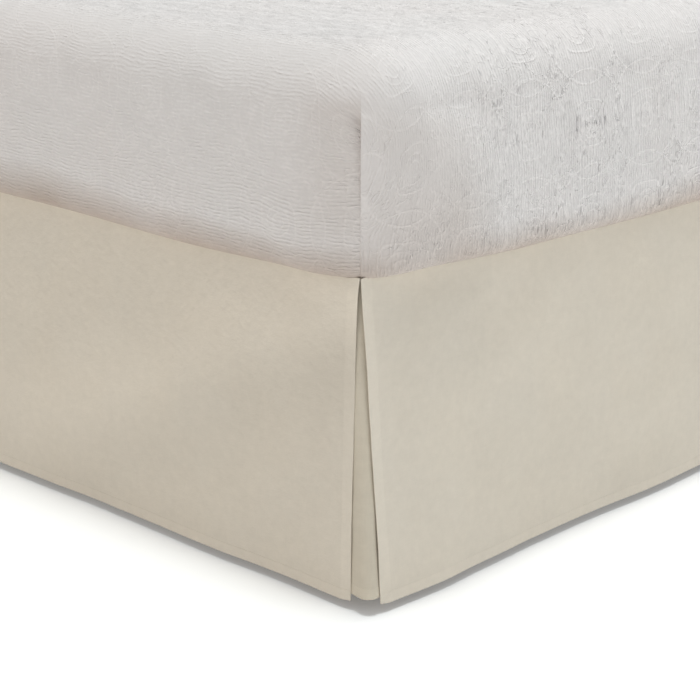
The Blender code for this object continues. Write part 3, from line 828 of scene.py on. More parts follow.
def rim_place(distance, inset):
    """Plan point at a distance round the mattress, drawn in by an inset, and its outward normal.

    The rim is four straights joined by quarter rounds; the inset shortens only the radius.
    """
    radius = CORNER_RADIUS - inset
    travelled = np.mod(distance, RIM_LENGTH)
    place = np.zeros((len(travelled), 2))
    normal = np.zeros((len(travelled), 2))
    centres = np.array([(1, -1), (1, 1), (-1, 1), (-1, -1)]) * (RIM_X, RIM_Y)
    begin = 0.0
    for quarter, straight in enumerate(RIM_STRAIGHTS):
        heading = 0.5 * np.pi * quarter
        out = np.array([np.cos(heading), np.sin(heading)])
        forward = np.array([-np.sin(heading), np.cos(heading)])
        on = (travelled >= begin) & (travelled < begin + straight)
        place[on] = centres[quarter] + radius * out + (travelled[on] - begin)[:, None] * forward
        normal[on] = out
        begin += straight
        on = (travelled >= begin) & (travelled < begin + RIM_ARC)
        turned = heading + (travelled[on] - begin) / CORNER_RADIUS
        direction = np.stack([np.cos(turned), np.sin(turned)], axis=1)
        place[on] = centres[(quarter + 1) % 4] + radius * direction
        normal[on] = direction
        begin += RIM_ARC
    return place, normal


def rim_stations():
    """Distances round the mattress rim, close together at the corners' folds, and the corners."""
    corners = np.cumsum(RIM_STRAIGHTS) + RIM_ARC * (np.arange(4) + 0.5)
    near_end = -np.array(END_STATIONS) * MM
    near_side = np.array(SIDE_STATIONS) * MM
    fold = np.concatenate([near_end, near_side])
    covered = (END_STATIONS[0] + SIDE_STATIONS[-1]) * MM
    stations = []
    for number, corner in enumerate(corners):
        towards_side = 1.0 if number in END_BEFORE_SIDE else -1.0
        near = np.sort(corner + towards_side * (fold - FOLD_OFF_CORNER))
        straight = RIM_STRAIGHTS[(number + 1) % 4] + RIM_ARC - covered
        straight = straight + 2.0 * towards_side * FOLD_OFF_CORNER
        between = near[-1] + np.linspace(0.0, straight, int(straight / RIM_STEP))[1:-1]
        stations.append(np.concatenate([near, between]))
    return np.concatenate(stations), corners


def corner_distance(distance, corners):
    """Signed distance round the rim from the nearest corner, positive on a long side, and its number."""
    half_way = 0.5 * RIM_LENGTH
    from_corner = (distance[:, None] - corners[None, :] + half_way) % RIM_LENGTH - half_way
    nearest = np.argmin(abs(from_corner), axis=1)
    signed = from_corner[np.arange(len(distance)), nearest]
    return signed * np.where(np.isin(nearest, END_BEFORE_SIDE), 1.0, -1.0), nearest


def cover_rows():
    """Profile of the cover from the rim of its flat top down under the lip.

    Each row has an inset, a height over the base, a share of the lip's sag and the distance
    travelled down the cloth: a quarter round, a bulging side and the lip.
    """
    thickness = MATTRESS_HIGH[2] - CROWN - MATTRESS_BASE
    turn = np.concatenate([np.linspace(90.0, 22.0, 11), np.linspace(18.0, EDGE_TURNS_TO, 6)])
    turn = np.radians(turn)
    inset = TOP_EDGE_RADIUS * (1.0 - np.cos(turn))
    height = thickness - TOP_EDGE_RADIUS * (1.0 - np.sin(turn))
    fold_rows = height[-1] - np.array([2.5, 5.0, 8.0, 11.0]) * MM
    side = np.concatenate([fold_rows, np.linspace(height[-1] - 16 * MM, BOTTOM_EDGE_RADIUS, 24)])
    share = (side - BOTTOM_EDGE_RADIUS) / (height[-1] - BOTTOM_EDGE_RADIUS)
    bulge = -SIDE_BULGE * np.sin(np.pi * share) + inset[-1] * smooth_step(0.5, 1.0, share)
    lip = np.array([row[0] for row in LIP_PROFILE])
    sag = np.array([row[1] for row in LIP_PROFILE])
    level = np.clip(1.0 - lip / BOTTOM_EDGE_RADIUS, 0.0, None)
    lift = BOTTOM_EDGE_RADIUS * (1.0 - np.sqrt(1.0 - level**2))
    insets = np.concatenate([inset, bulge, lip])
    heights = np.concatenate([height, side, lift])
    sags = np.concatenate([0.0 * inset, 0.0 * side, sag])
    steps = np.hypot(np.diff(insets), np.diff(heights))
    return insets, heights, sags, np.concatenate([[0.0], np.cumsum(steps)])


def build_mattress():
    """The mattress in its fitted cover: rings round the rim, a crowned top and folded corners.

    At each corner the cover of the long side laps over that of the end in one upright edge; the
    end's cover dips beside it by a Gaussian and the step fades at the fold's rounded top.
    """
    chosen = settings()
    distance, corners = rim_stations()
    from_corner, nearest = corner_distance(distance, corners)
    signed = from_corner + FOLD_OFF_CORNER
    insets, heights, sags, travelled = cover_rows()
    away = smooth_step(SAG_STARTS, SAG_FULL, abs(from_corner))
    _, face = rim_place(distance, 0.0)
    further = smooth_step(SAG_FULL, SAG_CHANGES_TO, abs(from_corner))
    side_sag = LIP_SAG_SIDE + (LIP_SAG_SIDE_FAR - LIP_SAG_SIDE) * further
    sag = away * (side_sag * abs(face[:, 0]) + LIP_SAG_FOOT * (1.0 - further) * abs(face[:, 1]))
    fold_top = chosen.corner_fold
    dip = np.where(signed < 0.0, np.exp(-((signed / FOLD_DIP_WIDTH) ** 2)), 0.0)
    lap = np.where(signed >= 0.0, np.exp(-((signed / FOLD_LAP_WIDTH) ** 2)), 0.0)
    tuck = np.exp(-((signed / FOLD_PUFF_WIDTH) ** 2))
    tight = np.exp(-((from_corner / CORNER_TIGHT_WIDTH) ** 2))
    beyond = (abs(from_corner) - CORNER_LIFT_AT) / CORNER_LIFT_WIDTH
    lifted = CORNER_LIFT * abs(face[:, 0]) * np.exp(-(beyond**2))
    long_side = abs(face[:, 0]) ** 2
    upright = MATTRESS_HIGH[2] - CROWN - MATTRESS_BASE - TOP_EDGE_RADIUS
    rings, turned_in = [], []
    for inset, height, share in zip(insets, heights, sags):
        place, normal = rim_place(distance, inset)
        if height < BOTTOM_EDGE_RADIUS:
            place = place + normal * (tight * 0.35 * inset)[:, None]
        arched = height + FOLD_ARCH * np.clip(1.0 + signed / FOLD_ARCH_WIDTH, 0.0, 1.0) ** 2
        folded = 1.0 - smooth_step(fold_top - 6 * MM, fold_top + 2 * MM, arched)
        on_side = 1.0 - smooth_step(fold_top - 16 * MM, fold_top, height)
        folded = np.where(signed < 0.0, folded, on_side)
        grows = smooth_step(0.40 * fold_top, 0.97 * fold_top, height)
        deep = chosen.fold_depth * (0.10 + 0.90 * grows)
        grows = smooth_step(0.4 * fold_top, 0.95 * fold_top, height)
        lapped = FOLD_LAP * (0.15 + 0.85 * grows)
        steep = folded * (lap * lapped - dip * deep)
        puff = FOLD_PUFF * smooth_step(fold_top + 30 * MM, fold_top, height)
        puff = puff * tuck * (1.0 - folded)
        soft = 1.3 * MM * crumple(distance, height, 0.16, 21, RIM_LENGTH)
        soft = soft + 0.5 * MM * crumple(distance, height, 0.05, 22, RIM_LENGTH)
        gather = 0.8 * MM * crumple(distance, 0.3 * height, 0.034, 23, RIM_LENGTH)
        gather = gather * (1.0 - smooth_step(8 * MM, 52 * MM, height)) * (1.0 - share * 0.6)
        out = steep - puff + (soft + gather) * (1.0 - 0.9 * share) * smooth_step(0.0, 10 * MM, height)
        rise = min(height / upright, 1.0)
        reach = 80 * MM + 100 * MM * (1.0 - rise**2.5)
        eased = smooth_step(reach - 65 * MM, reach + 75 * MM, abs(from_corner)) * long_side
        turned_in.append(eased)
        out = out - LEAN * eased * rise
        place = place + normal * out[:, None]
        tucked = tight * min(height, BOTTOM_EDGE_RADIUS) / BOTTOM_EDGE_RADIUS
        tucked = tucked * np.exp(-max(0.0, height - BOTTOM_EDGE_RADIUS) / (22 * MM))
        z = MATTRESS_BASE + height + (lifted - sag) * share - CORNER_TUCK * tucked
        rings.append(np.column_stack([place, z]))
    crown_rings = []
    shares = np.concatenate([np.linspace(0.02, 0.9, 20) ** 0.9, [0.955, 0.985]])
    for share in shares:
        ring = rings[0] * np.array([share, share, 1.0])
        ease = CROWN * (1.0 - share**2.2)
        soft = smooth_step(1.0, 0.9, share) * 1.2 * MM * crumple(ring[:, 0], ring[:, 1], 0.22, 31)
        ring[:, 2] = rings[0][:, 2] + ease + soft - 1.2 * MM * smooth_step(1.0, 0.9, share)
        crown_rings.append(ring)
    grid = np.stack([*crown_rings, *rings])
    count_rings, count = grid.shape[:2]
    index = np.arange(count_rings * count).reshape(count_rings, count)
    wrapped = np.concatenate([index, index[:, :1]], axis=1)
    quads = grid_quads(wrapped)
    points = grid.reshape(-1, 3)
    down = np.concatenate([np.zeros(len(shares)), travelled])
    top_shares = np.concatenate([shares, np.ones(len(heights))])
    loop_uv = cover_uv(top_shares, down, distance, from_corner, nearest, wrapped, quads)
    top, top_uv = cap_quads(index[0], points, False)
    base, base_uv = cap_quads(index[-1], points, True)
    all_quads = np.concatenate([quads, top, base])
    loop_uv = np.concatenate([loop_uv, top_uv, base_uv])
    rise = np.concatenate([np.full(len(shares), heights[0]), heights])[:, None]
    # painted shade under the cover's lip: darker towards its lower edge, and in a band along the ends
    over_lip = grid[..., 2] - grid[..., 2].min(axis=0)
    ragged = over_lip + 4 * MM * crumple(distance, 0.0, 0.12, 51, RIM_LENGTH)[None, :]
    cornered = long_side * (1.0 - smooth_step(80 * MM, 260 * MM, abs(from_corner)))
    far = (1.0 - long_side) * smooth_step(60 * MM, 450 * MM, abs(from_corner))
    fades = (38 - 8 * cornered + 9 * far) * MM
    painted_lip_shade = np.clip(1.0 - (ragged - 2 * MM) / fades, 0.0, 1.0) ** 1.2
    painted_lip_shade = (0.95 - 0.05 * long_side - 0.30 * cornered) * painted_lip_shade
    band = (31 + 16 * smooth_step(60 * MM, 450 * MM, abs(from_corner))) * MM
    in_band = 1.0 - smooth_step(-4 * MM, 4 * MM, ragged - band)
    painted_lip_shade = painted_lip_shade + 0.10 * in_band * (1.0 - long_side)
    # painted shade on the end's cover beside each fold
    beside = np.where(signed < 0.0, np.exp(-((signed / (58 * MM)) ** 2)), 0.0)
    beside = beside * smooth_step(-0.05 * fold_top, 0.40 * fold_top, rise)
    beside = beside * (1.0 - smooth_step(0.98 * fold_top, 1.12 * fold_top, rise))
    eased = np.concatenate([np.tile(turned_in[0], (len(shares), 1)), np.stack(turned_in)])
    # painted shade on the long sides near the corners
    painted_side_shade = (1.0 - eased) * long_side * (signed > 0.0)
    painted_side_shade = painted_side_shade * (1.0 - smooth_step(0.9 * upright, 1.2 * upright, rise))
    painted_side_shade = painted_side_shade * (1.0 - smooth_step(110 * MM, 240 * MM, abs(from_corner)))
    painted_side_shade = painted_side_shade * (0.23 + 0.18 * (1.0 - smooth_step(20 * MM, 110 * MM, rise)))
    painted_shade = np.clip(painted_lip_shade + 0.29 * beside + painted_side_shade * (1.0 - painted_lip_shade), 0.0, 1.0)
    taut = np.where(signed > 0.0, 0.68 * np.exp(-((signed / (125 * MM)) ** 4)), 0.0)
    on_sides = smooth_step(20 * MM, 120 * MM, down)[:, None]
    out_wide = smooth_step(0.0, RIM_X, grid[..., 0])
    over_edge = smooth_step(0.0, 45 * MM, down)[:, None]
    towards_end = smooth_step(RIM_Y - 160 * MM, RIM_Y + 50 * MM, abs(grid[..., 1]))
    towards_end = towards_end * (1.0 - long_side)
    out_wide = out_wide * (1.0 - towards_end)
    on_edge = 0.42 + 0.20 * out_wide + 0.32 * long_side
    on_top = 2.2 * (1.0 - over_edge) + on_edge * over_edge
    wrinkled = 2.6 * (1.0 - over_edge) + (0.4 - 0.1 * on_sides) * over_edge + 0.0 * out_wide
    pinched = np.where(signed < 0.0, np.exp(-((signed / (28 * MM)) ** 2)), 0.0)
    pinched = pinched * smooth_step(0.6 * fold_top, fold_top, rise)
    taut = taut * (0.35 + 0.65 * smooth_step(25 * MM, 80 * MM, rise))
    ribbed = (0.90 + long_side) * (1.0 - taut) * (1.0 - 0.6 * pinched)
    relief = ribbed * on_sides + on_top * (1.0 - on_sides)
    # the figure mark: how strongly the lattice and ribs show, and painted light that lightens the long
    # sides and the top towards the right
    near_fold = 1.0 - smooth_step(90 * MM, 200 * MM, abs(from_corner))
    side_figure = 0.9 + 1.9 * long_side * (1.0 - 0.6 * near_fold)
    figure_and_painted_light = side_figure * on_sides + (0.7 + 1.4 * out_wide) * (1.0 - on_sides)
    marks = {
        "painted_shade": painted_shade.ravel(),
        "relief": relief.ravel(),
        "figure_and_painted_light": figure_and_painted_light.ravel(),
        "wrinkled": wrinkled.ravel(),
    }
    finish = finish_named("white puckered cover", cover_finish)
    piece = add_piece("mattress_cover", points, all_quads, finish, loop_uv, marks)
    hand_over(piece, "cover", "mattress")


def cap_quads(ring, points, reverse):
    """Quads across a ring of vertices, made by walking it from both ends at once."""
    half = len(ring) // 2
    left = ring[:half]
    right = ring[::-1][:half]
    quads = np.stack([left[:-1], left[1:], right[1:], right[:-1]], axis=1)
    if reverse:
        quads = quads[:, ::-1]
    return quads, points[quads][..., :2]


def cover_uv(top_shares, down, distance, from_corner, nearest, wrapped, quads):
    """Flat coordinates of the cover for each quad's corners.

    On top they are the plan. Down a side the plan goes on straight out from the rim, so that the
    ribs turn over the edge. At a corner the flat cloth blends from a fan about the corner into
    two straight flaps, one for each side of the fold.
    """
    rim, normal = rim_place(distance, TOP_EDGE_RADIUS)
    fan = rim[None] + down[:, None, None] * normal[None]
    on_top = (down == 0.0)[:, None, None]
    fan = np.where(on_top, rim[None] * top_shares[:, None, None], fan)
    centres = np.array([(1, 1), (-1, 1), (-1, -1), (1, -1)]) * (RIM_X, RIM_Y)
    centre = centres[nearest]
    lean = np.sign(centre)
    near = abs(from_corner) < 0.5 * RIM_ARC
    arc = np.where(near, 0.5 * RIM_ARC - abs(from_corner), 0.0)
    edge = CORNER_RADIUS - TOP_EDGE_RADIUS
    beside = centre + lean * arc[:, None] + 0.0 * down[:, None, None]
    below = centre + lean * (edge + down[:, None, None])
    end_flap = np.stack([beside[..., 0], below[..., 1]], axis=-1)
    side_flap = np.stack([below[..., 0], beside[..., 1]], axis=-1)
    flaps = []
    for flap, starts, ends in ((end_flap, 92 * MM, 150 * MM), (side_flap, 100 * MM, 230 * MM)):
        straight = (smooth_step(starts, ends, down)[:, None] * near[None, :])[..., None]
        flaps.append((fan * (1.0 - straight) + flap * straight).reshape(-1, 2))
    columns = wrapped.shape[1] - 1
    column = np.tile(np.arange(columns), wrapped.shape[0] - 1)
    after = (column + 1) % columns
    on_side = from_corner[column] + from_corner[after] + 2.0 * FOLD_OFF_CORNER > 0.0
    return np.where(on_side[:, None, None], flaps[1][quads], flaps[0][quads])


def build_foundation():
    """The foundation: an upholstered box with softly rumpled sides and two sewn borders.

    Rings of a rounded rectangle are stacked over a profile: a small round at each edge and a straight
    side, less a groove at each border's seam; away from its edges the side is drawn in a little and
    rumpled.
    """
    low, high = FOUNDATION_LOW, FOUNDATION_HIGH
    tall = high[2] - low[2]
    radius = 12 * MM
    soft = 7 * MM
    border = 22 * MM
    turn = np.radians(np.linspace(90.0, 0.0, 6))
    edge_inset = soft * (1.0 - np.cos(turn))
    edge_height = soft * (1.0 - np.sin(turn))
    fine = np.array([-3.0, -1.4, -0.6, 0.0, 0.6, 1.4, 3.0]) * MM
    upper = tall - border - fine
    between = np.linspace(tall - border - 12 * MM, border + 12 * MM, 14)
    side = np.concatenate([upper, between, border - fine])
    heights = np.concatenate([tall - edge_height, side, edge_height[::-1]])
    grooves = sum(np.exp(-(((side - at) / (1.1 * MM)) ** 2)) for at in (border, tall - border))
    insets = np.concatenate([edge_inset, 0.9 * MM * grooves, edge_inset[::-1]])
    steps_x = np.linspace(-1.0, 1.0, 61)[:-1] * (high[0] - radius)
    steps_y = np.linspace(-1.0, 1.0, 81)[:-1] * (high[1] - radius)
    around = np.linspace(0.0, 0.5 * np.pi, 9)[:-1]
    plan, normal = [], []
    for quarter, (sign_x, sign_y) in enumerate(((1, -1), (1, 1), (-1, 1), (-1, -1))):
        heading = 0.5 * np.pi * quarter
        centre = np.array([sign_x * (high[0] - radius), sign_y * (high[1] - radius)])
        angle = heading - 0.5 * np.pi + around
        round_part = np.stack([np.cos(angle), np.sin(angle)], axis=1)
        steps = steps_y if quarter % 2 == 0 else steps_x
        forward = np.array([-np.sin(heading), np.cos(heading)])
        out = np.array([np.cos(heading), np.sin(heading)])
        middle = centre - forward * np.dot(centre, forward)
        straight = middle + steps[:, None] * forward
        plan += [centre + 0.0 * round_part, straight]
        normal += [round_part, np.tile(out, (len(steps), 1))]
    plan, normal = np.concatenate(plan), np.concatenate(normal)
    grid = []
    for inset, height in zip(insets, heights):
        xy = plan + normal * (radius - inset)
        sum_xy, difference = xy[:, 0] + xy[:, 1], xy[:, 0] - xy[:, 1]
        rumple = 0.3 * MM * crumple(sum_xy, height + difference, 0.12, 41)
        calm = smooth_step(0.0, 30 * MM, min(height, tall - height))
        xy = xy - normal * (calm * (0.3 * MM + rumple))[:, None]
        grid.append(np.column_stack([xy, np.full(len(xy), low[2] + height)]))
    grid = np.stack(grid)
    index = np.arange(grid.shape[0] * grid.shape[1]).reshape(grid.shape[:2])
    wrapped = np.concatenate([index, index[:, :1]], axis=1)
    quads = grid_quads(wrapped)
    points = grid.reshape(-1, 3)
    strides = np.linalg.norm(np.diff(plan + normal * radius, axis=0), axis=1)
    girth = np.concatenate([[0.0], np.cumsum(strides)])
    columns = np.tile(np.arange(len(plan)), grid.shape[0] - 1)
    girth_end = girth[-1] + steps_x[1] - steps_x[0]
    next_girth = np.append(girth[1:], girth_end)
    row = np.repeat(np.arange(grid.shape[0] - 1), len(plan))
    here, there = girth[columns], next_girth[columns]
    above, below = heights[row], heights[row + 1]
    corners = ((here, above), (here, below), (there, below), (there, above))
    loop_uv = np.stack([np.stack(corner, 1) for corner in corners], axis=1)
    top, top_uv = cap_quads(index[0], points, False)
    base, base_uv = cap_quads(index[-1], points, True)
    seam = np.minimum(abs(heights - border), abs(heights - tall + border))
    marks = {"seam": np.repeat(seam, len(plan))}
    finish = finish_named("plain ticking", ticking_finish)
    all_quads = np.concatenate([quads, top, base])
    all_uv = np.concatenate([loop_uv, top_uv, base_uv])
    piece = add_piece("foundation_box", points, all_quads, finish, all_uv, marks)
    hand_over(piece, "ticking", "foundation")


def build_legs():
    """Six turned legs: a profile of radius over height, with a groove near the top, spun round each
    place.
    """
    finish = finish_named("satin beech", wood_finish)
    for node in LEG_NODES:
        low, high = node_box(node)
        centre = 0.5 * (low + high)
        tall = high[2] - low[2]
        top = 0.5 * (high[0] - low[0])
        upper = (0.83, 0.86, 0.89, 0.92, 0.95, 0.98, 1.0)
        share = np.concatenate([(0.0, 0.006, 0.02, 0.05), np.linspace(0.1, 0.8, 18), upper])
        foot = 21 * MM
        radius = foot + (top - foot) * share**1.3
        radius = radius - 2.0 * MM * np.exp(-(((share - 0.9) / 0.018) ** 2))
        radius[:3] = foot * np.array([0.93, 0.975, 0.995])
        radius = np.concatenate([[0.3 * MM], radius, [0.3 * MM]])
        height = np.concatenate([[0.0], share, [1.0]]) * tall
        angle = np.linspace(0.0, 2.0 * np.pi, 49)[:-1]
        ring = np.stack([np.cos(angle), np.sin(angle)], axis=1)
        xy = centre[:2] + radius[:, None, None] * ring[None]
        z = np.broadcast_to((low[2] + height)[:, None, None], (len(height), len(angle), 1))
        grid = np.concatenate([xy, z], axis=-1)
        index = np.arange(grid.shape[0] * grid.shape[1]).reshape(grid.shape[:2])
        wrapped = np.concatenate([index, index[:, :1]], axis=1)
        points = grid.reshape(-1, 3)
        top_cap, top_uv = cap_quads(index[0], points, False)
        base_cap, base_uv = cap_quads(index[-1], points, True)
        quads = grid_quads(wrapped)
        all_quads = np.concatenate([quads, top_cap, base_cap])
        all_uv = np.concatenate([points[quads][..., [0, 2]], top_uv, base_uv])
        piece = add_piece(f"turned_{node}", points, all_quads, finish, all_uv)
        hand_over(piece, "leg_wood", node)


# The place that all lights are turned to
LIT_POINT = (0.5, -0.7, 0.3)


def build_stage():
    """The floor, the soft lights and the camera at the photograph's angle.

    Each light is turned to LIT_POINT, a place near the foot corner.
    """
    chosen = settings()
    floor_mesh = bpy.data.meshes.new("floor")
    reach = 14.0
    corners = [(x * reach, y * reach, 0.0) for x, y in ((-1, -1), (1, -1), (1, 1), (-1, 1))]
    floor_mesh.from_pydata(corners, [], [(0, 1, 2, 3)])
    floor_mesh.materials.append(floor_finish())
    floor = bpy.data.objects.new("floor", floor_mesh)
    bpy.context.collection.objects.link(floor)
    scene = bpy.context.scene
    scene.view_settings.view_transform = "Standard"
    world = bpy.data.worlds.new("soft studio")
    world.use_nodes = True
    sky = world.node_tree.nodes["Background"]
    sky.inputs["Color"].default_value = (1.0, 1.0, 1.0, 1.0)
    sky.inputs["Strength"].default_value = chosen.sky_strength
    scene.world = world
    for name, place, size, power, tint in (
        ("overhead", (0.9, -1.2, 9.0), 2.2, chosen.overhead_power, (0.95, 1.0, 1.0)),
        ("foot window", (-0.9, -7.0, 1.1), 4.0, chosen.foot_power, (1.0, 0.86, 0.68)),
        ("right window", (7.0, 0.2, 1.1), 4.0, chosen.side_power, (0.95, 1.0, 0.99)),
        ("head window", (0.9, 3.9, 2.9), 2.0, chosen.head_power, (0.97, 1.0, 1.0)),
        ("lamp over the bed", (0.25, -0.15, 2.7), 1.2, chosen.bed_power, (0.97, 1.0, 1.0)),
    ):
        lamp = bpy.data.lights.new(name, "AREA")
        lamp.shape = "SQUARE"
        lamp.size = size
        lamp.energy = power
        lamp.color = tint
        holder = bpy.data.objects.new(name, lamp)
        bpy.context.collection.objects.link(holder)
        aim = np.array(LIT_POINT) - np.array(place)
        flat = np.hypot(aim[0], aim[1])
        tilt = 0.5 * np.pi + np.arctan2(aim[2], flat)
        turn = np.arctan2(-aim[0], aim[1])
        aimed = Matrix.Rotation(turn, 4, "Z") @ Matrix.Rotation(tilt, 4, "X")
        holder.matrix_world = Matrix.Translation(place) @ aimed
    lens = bpy.data.cameras.new("camera")
    lens.lens = chosen.focal_length
    camera = bpy.data.objects.new("camera", lens)
    bpy.context.collection.objects.link(camera)
    pan = Matrix.Rotation(chosen.camera_turn, 4, "Z")
    tilt = Matrix.Rotation(0.5 * np.pi - chosen.camera_down, 4, "X")
    roll = Matrix.Rotation(chosen.camera_roll, 4, "Z")
    camera.matrix_world = Matrix.Translation(chosen.camera_place) @ pan @ tilt @ roll
    scene.camera = camera


def length_property(name, description, default):
    """A size in metres."""
    return bpy.props.FloatProperty(
        name=name, description=description, default=default, unit="LENGTH", precision=4
    )


def power_property(name, light, default):
    """The power of a light in watts."""
    description = f"Power of the {light} in watts"
    return bpy.props.FloatProperty(name=name, description=description, default=default)


def angle_property(name, description, degrees):
    """An angle, given in degrees and kept in radians."""
    return bpy.props.FloatProperty(
        name=name, description=description, default=np.radians(degrees), unit="ROTATION"
    )


def colour_property(name, description, default):
    """A linear colour."""
    return bpy.props.FloatVectorProperty(
        name=name, description=description, default=default, size=3, subtype="COLOR", min=0.0, max=1.0
    )


class BedSkirtSettings(bpy.types.PropertyGroup):
    """Sizes and colours of the skirt, the cover and the stage."""

    hem_height: length_property("Hem height", "Height of the double-turned hem", 0.012)
    side_hem: length_property("Side hem", "Width of the turned edge beside a split corner", 0.015)
    cloth: length_property("Cloth", "Thickness of one layer of poplin", 0.0007)
    grid_step: length_property("Grid step", "Distance between the rows and columns of a drop", 0.0065)
    side_flare: length_property("Side flare", "How far the long drops swing out at the hem", 0.022)
    foot_flare: length_property("Foot flare", "How far the foot drop swings out at the hem", 0.005)
    edge_curl: length_property("Edge curl", "How far a free corner of the hem curls in", 0.002)
    insert_bulge: length_property("Insert bulge", "How far the insert swells out at its hem", 0.003)
    yarn_pitch: length_property("Yarn pitch", "Distance between two warp yarns", 0.00055)
    stitch_pitch: length_property("Stitch pitch", "Length of one hem stitch and its gap", 0.0032)
    corner_fold: length_property("Corner fold", "Height of the cover's folded corner", 0.175)
    fold_depth: length_property("Fold depth", "How deep the cover dips beside its corner fold", 0.0045)
    rib_pitch: length_property("Rib pitch", "Distance between two ribs of the puckered cover", 0.0042)
    lattice_spacing: length_property(
        "Lattice spacing", "Distance between two circles of the lattice", 0.104
    )
    lattice_radius: length_property("Lattice radius", "Radius of the circles of the lattice", 0.060)
    poplin_warm: colour_property("Poplin, warm", "Warmer tone of the ivory poplin", (0.668, 0.600, 0.506))
    poplin_cool: colour_property("Poplin, cool", "Cooler tone of the ivory poplin", (0.655, 0.600, 0.520))
    cover_warm: colour_property("Cover, warm", "Warmer tone of the white cover", (0.692, 0.648, 0.634))
    cover_cool: colour_property("Cover, cool", "Cooler tone of the white cover", (0.674, 0.652, 0.644))
    ticking: colour_property("Ticking", "Colour of the foundation's ticking", (0.66, 0.64, 0.60))
    wood_dark: colour_property("Wood, dark", "Darker grain of the beech legs", (0.30, 0.17, 0.08))
    wood_light: colour_property("Wood, light", "Lighter grain of the beech legs", (0.52, 0.35, 0.20))
    sky_strength: bpy.props.FloatProperty(
        name="Sky", description="Strength of the even light", default=0.38
    )
    overhead_power: power_property("Overhead", "overhead light", 450.0)
    foot_power: power_property("Foot window", "warm light from the foot", 59.0)
    side_power: power_property("Right window", "cool light from the right", 86.0)
    head_power: power_property("Head window", "light from beyond the head", 45.0)
    bed_power: power_property("Lamp over the bed", "small lamp over the bed", 3.0)
    focal_length: bpy.props.FloatProperty(
        name="Focal length", description="Lens of the camera in millimetres", default=101.5
    )
    camera_place: bpy.props.FloatVectorProperty(
        name="Camera",
        description="Where the camera stands",
        default=(2.0878, -2.4212, 0.8955),
        subtype="TRANSLATION",
    )
    camera_turn: angle_property("Turn", "Heading of the camera", 43.66)
    camera_down: angle_property("Tilt", "How far the camera looks down", 17.38)
    camera_roll: angle_property("Roll", "How far the camera leans", 0.20)


class BEDSKIRT_OT_foot_drop(bpy.types.Operator):
    """Hang the drop across the foot of the bed"""

    bl_idname = "bedskirt.foot_drop"
    bl_label = "Foot Drop"

    def execute(self, context):
        """Both free edges hang plumb, short of the corners."""
        width = 2.0 * HALF_WIDTH
        reach = DROP_OUT - FOOT_EDGE_SHORT_AT_TOP
        slant = FOOT_EDGE_SHORT_AT_HEM - FOOT_EDGE_SHORT_AT_TOP
        closed = SPLIT_CLOSED_AT_TOP
        build_drop(
            "foot_drop",
            "skirt_foot_panel",
            (HALF_WIDTH, -HALF_LENGTH, 0.0),
            (-1.0, 0.0, 0.0),
            (0.0, -1.0, 0.0),
            (
                lambda down: -reach + slant * down - closed * np.exp(-down / 0.05),
                lambda down: width + reach - slant * down + closed * np.exp(-down / 0.05),
            ),
            settings().foot_flare,
            (FOOT_FOLDS, FOOT_RIDGES),
            (0.0, width),
            (0, 1),
            101,
        )
        return {"FINISHED"}


class BEDSKIRT_OT_side_drops(bpy.types.Operator):
    """Hang the two long drops along the sides of the bed"""

    bl_idname = "bedskirt.side_drops"
    bl_label = "Side Drops"

    def execute(self, context):
        """The foot edge swings open towards the hem and the head edge hangs plumb."""
        reach = DROP_OUT + PLEAT_STACK
        for name, node, side, tables, seed in (
            ("side_drop_right", "skirt_side_panel_right", 1.0, (RIGHT_SIDE_FOLDS, RIGHT_RIDGES), 202),
            ("side_drop_left", "skirt_side_panel_left", -1.0, (LEFT_SIDE_FOLDS, LEFT_RIDGES), 303),
        ):
            build_drop(
                name,
                node,
                (side * HALF_WIDTH, -HALF_LENGTH, 0.0),
                (0.0, 1.0, 0.0),
                (side, 0.0, 0.0),
                (lambda down: -reach + SPLIT_AT_HEM * down, lambda down: 2.0 * HALF_LENGTH + 0.0 * down),
                settings().side_flare,
                tables,
                (0.0,),
                (0,),
                seed,
            )
        return {"FINISHED"}


class BEDSKIRT_OT_corner_inserts(bpy.types.Operator):
    """Set the pleat inserts behind the two split corners"""

    bl_idname = "bedskirt.corner_inserts"
    bl_label = "Corner Inserts"

    def execute(self, context):
        """One insert for each foot corner."""
        build_insert("corner_insert_right", "skirt_corner_insert_right", 1.0, 404)
        build_insert("corner_insert_left", "skirt_corner_insert_left", -1.0, 505)
        return {"FINISHED"}


class BEDSKIRT_OT_deck(bpy.types.Operator):
    """Lay the deck between mattress and foundation"""

    bl_idname = "bedskirt.deck"
    bl_label = "Deck"

    def execute(self, context):
        """One flat sheet."""
        build_deck()
        return {"FINISHED"}


class BEDSKIRT_OT_mattress(bpy.types.Operator):
    """Put the mattress in its puckered cover on the deck"""

    bl_idname = "bedskirt.mattress"
    bl_label = "Mattress"

    def execute(self, context):
        """One padded piece."""
        build_mattress()
        return {"FINISHED"}


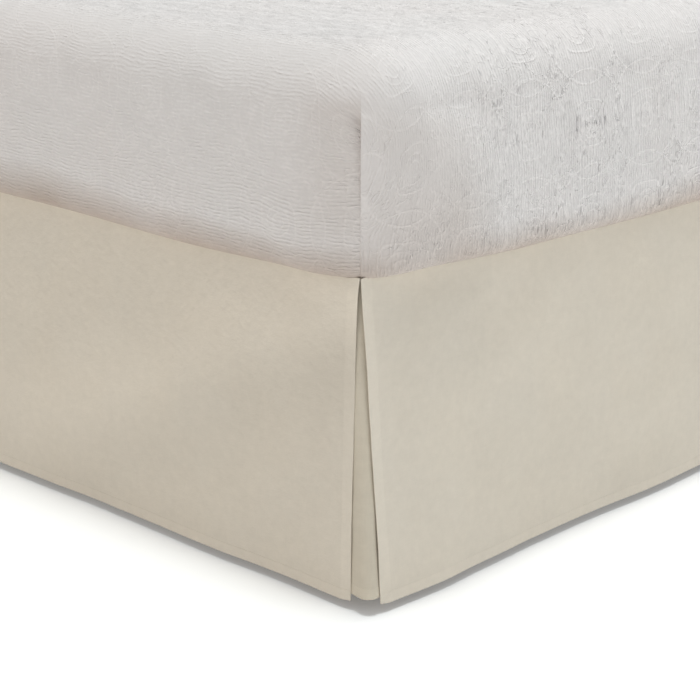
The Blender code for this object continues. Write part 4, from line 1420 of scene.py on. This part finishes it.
class BEDSKIRT_OT_bed(bpy.types.Operator):
    """Make the plain foundation and its legs"""

    bl_idname = "bedskirt.bed"
    bl_label = "Foundation and Legs"

    def execute(self, context):
        """The box first, then a leg at each CAD leg."""
        build_foundation()
        build_legs()
        return {"FINISHED"}


class BEDSKIRT_OT_stage(bpy.types.Operator):
    """Set the floor, the lights and the camera"""

    bl_idname = "bedskirt.stage"
    bl_label = "Stage"

    def execute(self, context):
        """A pale floor, soft light from above, three sides and over the bed, and the camera."""
        build_stage()
        return {"FINISHED"}


OPERATORS = (
    BEDSKIRT_OT_stage,
    BEDSKIRT_OT_bed,
    BEDSKIRT_OT_deck,
    BEDSKIRT_OT_corner_inserts,
    BEDSKIRT_OT_foot_drop,
    BEDSKIRT_OT_side_drops,
    BEDSKIRT_OT_mattress,
)


class BEDSKIRT_PT_panel(bpy.types.Panel):
    """Sidebar panel with the pieces of the bed skirt"""

    bl_idname = "BEDSKIRT_PT_panel"
    bl_label = "Bed Skirt"
    bl_space_type = "VIEW_3D"
    bl_region_type = "UI"
    bl_category = "Bed Skirt"

    def draw(self, context):
        """A button for each piece, and the settings below."""
        for operator in OPERATORS:
            self.layout.operator(operator.bl_idname)
        for name in BedSkirtSettings.__annotations__:
            self.layout.prop(context.scene.bed_skirt, name)


CLASSES = (BedSkirtSettings, *OPERATORS, BEDSKIRT_PT_panel)


def register():
    """Register the classes and hang the settings on the scene."""
    for kind in CLASSES:
        bpy.utils.register_class(kind)
    bpy.types.Scene.bed_skirt = bpy.props.PointerProperty(type=BedSkirtSettings)


def unregister():
    """Take the settings and the classes away again."""
    del bpy.types.Scene.bed_skirt
    for kind in reversed(CLASSES):
        bpy.utils.unregister_class(kind)


def main():
    """Build every piece in order."""
    register()
    bpy.ops.bedskirt.stage()
    bpy.ops.bedskirt.bed()
    bpy.ops.bedskirt.deck()
    bpy.ops.bedskirt.corner_inserts()
    bpy.ops.bedskirt.foot_drop()
    bpy.ops.bedskirt.side_drops()
    bpy.ops.bedskirt.mattress()


if __name__ == "__main__":
    main()
